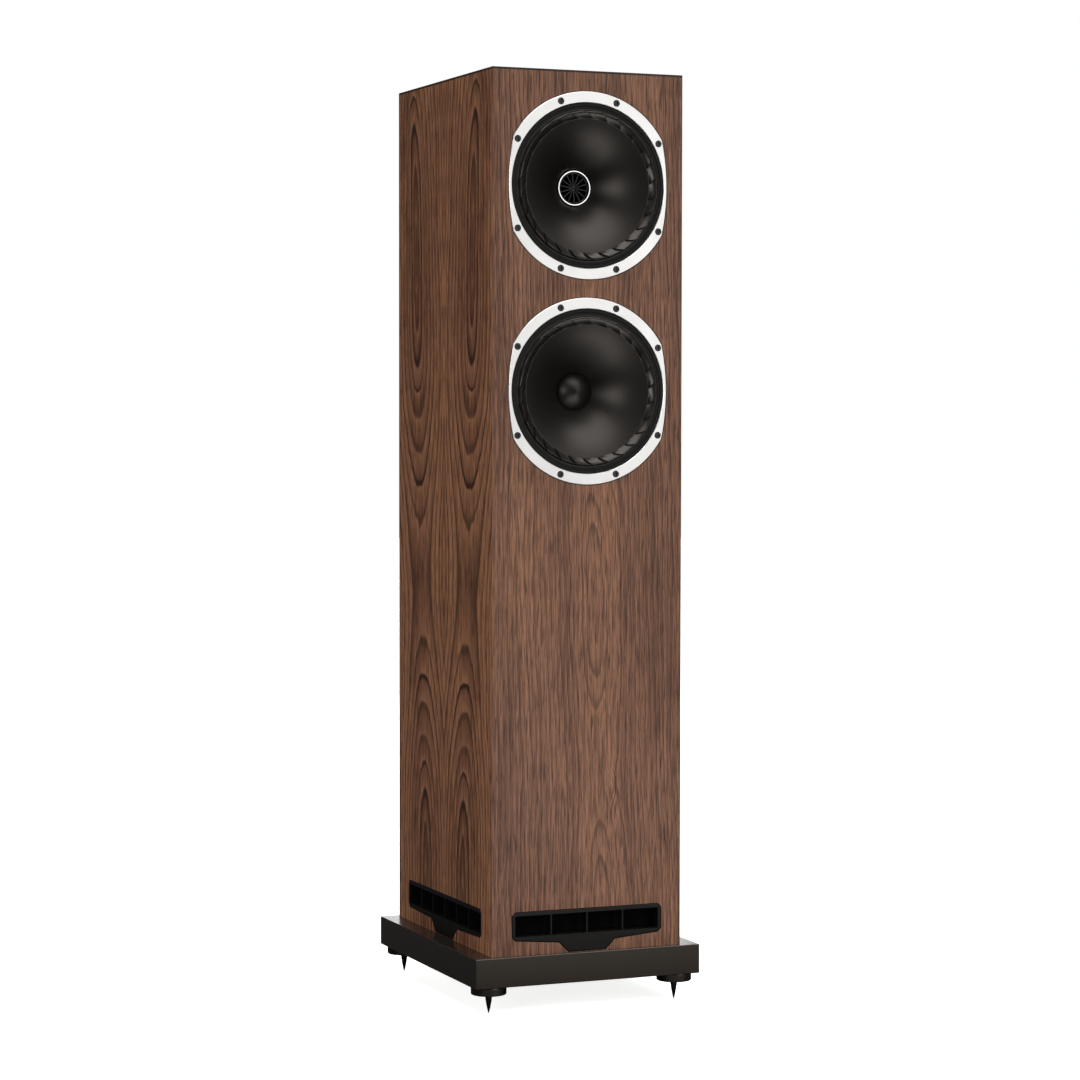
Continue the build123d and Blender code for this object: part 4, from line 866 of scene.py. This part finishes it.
# Cones. Pressed paper fibre with a black satin coating; the lower one is closed by a pointed cap
# of the same coated fibre, glued on over the voice coil.
def cone_finish(name):
    material, tree, surface = start_finish(name, specular_ior_level=0.36, specular_tint=(1.0, 0.9, 0.83, 1.0))
    place = wire(tree, "TexCoord").outputs["Object"]
    fibre = noise(tree, place, scale=1700.0, detail=4.0, rough=0.65)
    pressing = noise(tree, place, scale=38.0, detail=3.0)
    pulp = sums(tree, "MULTIPLY_ADD", fibre, 0.5, sums(tree, "MULTIPLY", pressing, 0.5))
    tree.links.new(blend_colour(tree, pulp, tint(10, 9, 8), tint(17, 15, 13)), surface.inputs["Base Color"])
    tree.links.new(sums(tree, "MULTIPLY_ADD", fibre, 0.12, 0.34), surface.inputs["Roughness"])
    relief = wire(tree, "Bump", {"Strength": 0.12, "Distance": 0.05 * MM, "Height": fibre})
    tree.links.new(relief.outputs["Normal"], surface.inputs["Normal"])
    return material


coat(cone_finish("coated_cone_upper"), "upper_cone")
coat(cone_finish("coated_cone_lower"), "lower_cone", "lower_dust_cap")


# High-frequency unit, in the middle of the upper driver: a polished throat ring, a ribbed plastic
# plug inside it, and a spun metal dome behind the plug.
throat_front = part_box("tweeter_throat")[0].y
lip_inner_radius, lip_depth = 20.0 * MM, 2.2 * MM
polished, tree, surface = start_finish("polished_throat", metallic=1.0)
throat_place = wire(tree, "SeparateXYZ", {0: wire(tree, "TexCoord").outputs["Object"]}).outputs
polish_marks = noise(tree, wire(tree, "TexCoord").outputs["Object"], scale=800.0, detail=3.0)
off_axis = sums(tree, "SUBTRACT", throat_place["Z"], upper_height)
throat_radius = long_side(tree, off_axis, throat_place["X"])
# painted shade: only the front lip is polished silver; deeper in, the throat is coloured dark for the shade
# inside it
bright_lip = sums(tree, "MULTIPLY", sums(tree, "GREATER_THAN", throat_radius, lip_inner_radius),
                  sums(tree, "LESS_THAN", throat_place["Y"], throat_front + lip_depth))
silver = blend_colour(tree, polish_marks, tint(232, 231, 228), tint(244, 243, 240))
tree.links.new(blend_colour(tree, bright_lip, tint(30, 30, 30), silver), surface.inputs["Base Color"])
tree.links.new(sums(tree, "MULTIPLY_ADD", polish_marks, 0.1, 0.12), surface.inputs["Roughness"])
coat(polished, "tweeter_throat")
coat(skinned("plug_moulding", tint(8, 8, 8), tint(12, 12, 12), 0.35, 0.45, grain=2000.0, bump=0.08,
             specular_ior_level=0.35), "phase_plug")
coat(lathed("spun_dome", (0.0, upper_height), tint(176, 177, 180), tint(198, 199, 202), 0.2, 0.3,
            facing="Y"), "tweeter_diaphragm")


# Wadding. A loose batt of white polyester fibre, stapled to the rear wall behind the drivers.
batt_low, batt_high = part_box("damping_wadding")
batt_material, tree, surface = start_finish("batt_fibre", roughness=0.95, sheen_weight=0.4)
batt_place = wire(tree, "TexCoord").outputs["Object"]
strands = noise(tree, wire(tree, "Mapping", {"Vector": batt_place, "Scale": (900, 1400, 260)}).outputs[0],
                detail=4.0, rough=0.7)
tree.links.new(blend_colour(tree, strands, tint(202, 200, 194), tint(238, 237, 233)),
               surface.inputs["Base Color"])
strand_relief = wire(tree, "Bump", {"Strength": 0.8, "Distance": 0.8 * MM, "Height": strands})
tree.links.new(strand_relief.outputs["Normal"], surface.inputs["Normal"])


def puffed_batt(name, low, high):
    """A box of fine cells, rounded at its corners and gently lumpy, flat against the wall."""
    batt_middle = (low + high) / 2
    half = (high - low) / 2
    shape = bmesh.new()
    bmesh.ops.create_cube(shape, size=2.0)
    bmesh.ops.subdivide_edges(shape, edges=shape.edges, cuts=23, use_grid_fill=True)
    for vert in shape.verts:
        u, v, w = vert.co
        crown = 1.0 - 0.16 * (u * u + w * w) / 2
        lumps = 0.5 + 0.5 * math.sin(5.1 * u + 1.7) * math.sin(7.3 * w + 0.6)
        depth_share = v if v > 0.98 else v * crown * (0.86 + 0.1 * lumps)
        corner = 1.0 - 0.035 * (max(0.0, abs(u) - 0.8) + max(0.0, abs(w) - 0.8)) * 5 * (1 - 0.4 * v)
        vert.co = (batt_middle.x + half.x * u * corner * (0.985 + 0.012 * math.sin(9 * w)),
                   batt_middle.y + half.y * depth_share,
                   batt_middle.z + half.z * w * corner * (0.99 + 0.009 * math.sin(8 * u)))
    mesh = bpy.data.meshes.new(name)
    shape.to_mesh(mesh)
    shape.free()
    mesh.shade_smooth()
    mesh.materials.append(batt_material)
    piece = bpy.data.objects.new(name, mesh)
    scene.collection.objects.link(piece)
    return piece


batt = puffed_batt("damping_batt", batt_low, batt_high)
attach(batt, "cabinet")
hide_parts("damping_wadding")


# Crossover. A fibreglass board with air-cored copper coils and wrapped film capacitors, and rubber
# sheathed looms that run from the sockets to it and on to the drivers.
coat(skinned("solder_mask", tint(20, 78, 44), tint(28, 94, 54), 0.25, 0.35, grain=300.0,
             coat_weight=0.4, coat_roughness=0.12), "crossover_board")
coat(skinned("coil_copper", tint(180, 98, 58), tint(212, 130, 80), 0.25, 0.38, grain=2600.0, bump=0.5,
             metallic=1.0), "crossover_coils")
coat(skinned("film_wrap", tint(190, 150, 40), tint(214, 176, 64), 0.3, 0.4, grain=500.0,
             coat_weight=0.3, coat_roughness=0.15), "crossover_capacitors")
coat(skinned("loom_sheath", tint(30, 30, 31), tint(44, 44, 45), 0.5, 0.65, grain=1500.0, bump=0.2),
     "wiring_looms")


# Terminals. A black anodised plate, flush in the back, with two gold-plated binding posts; each has
# a captive washer and a ribbed plastic cap that screws down on it.
coat(skinned("anodised_plate", tint(30, 30, 31), tint(44, 44, 45), 0.3, 0.42, grain=1800.0, bump=0.15,
             metallic=0.6), "terminal_plate")
gold = skinned("gold_plate", tint(232, 190, 104), tint(244, 206, 126), 0.14, 0.24, grain=1500.0, metallic=1.0)
coat(gold, "terminal_posts", "post_washer_red", "post_washer_black")
coat(skinned("red_cap", tint(150, 18, 16), tint(176, 28, 24), 0.16, 0.24, grain=1500.0, bump=0.05,
             coat_weight=0.5, coat_roughness=0.08), "post_cap_red")
coat(skinned("black_cap", tint(26, 26, 26), tint(36, 36, 36), 0.18, 0.28, grain=1500.0, bump=0.05,
             coat_weight=0.5, coat_roughness=0.08), "post_cap_black")
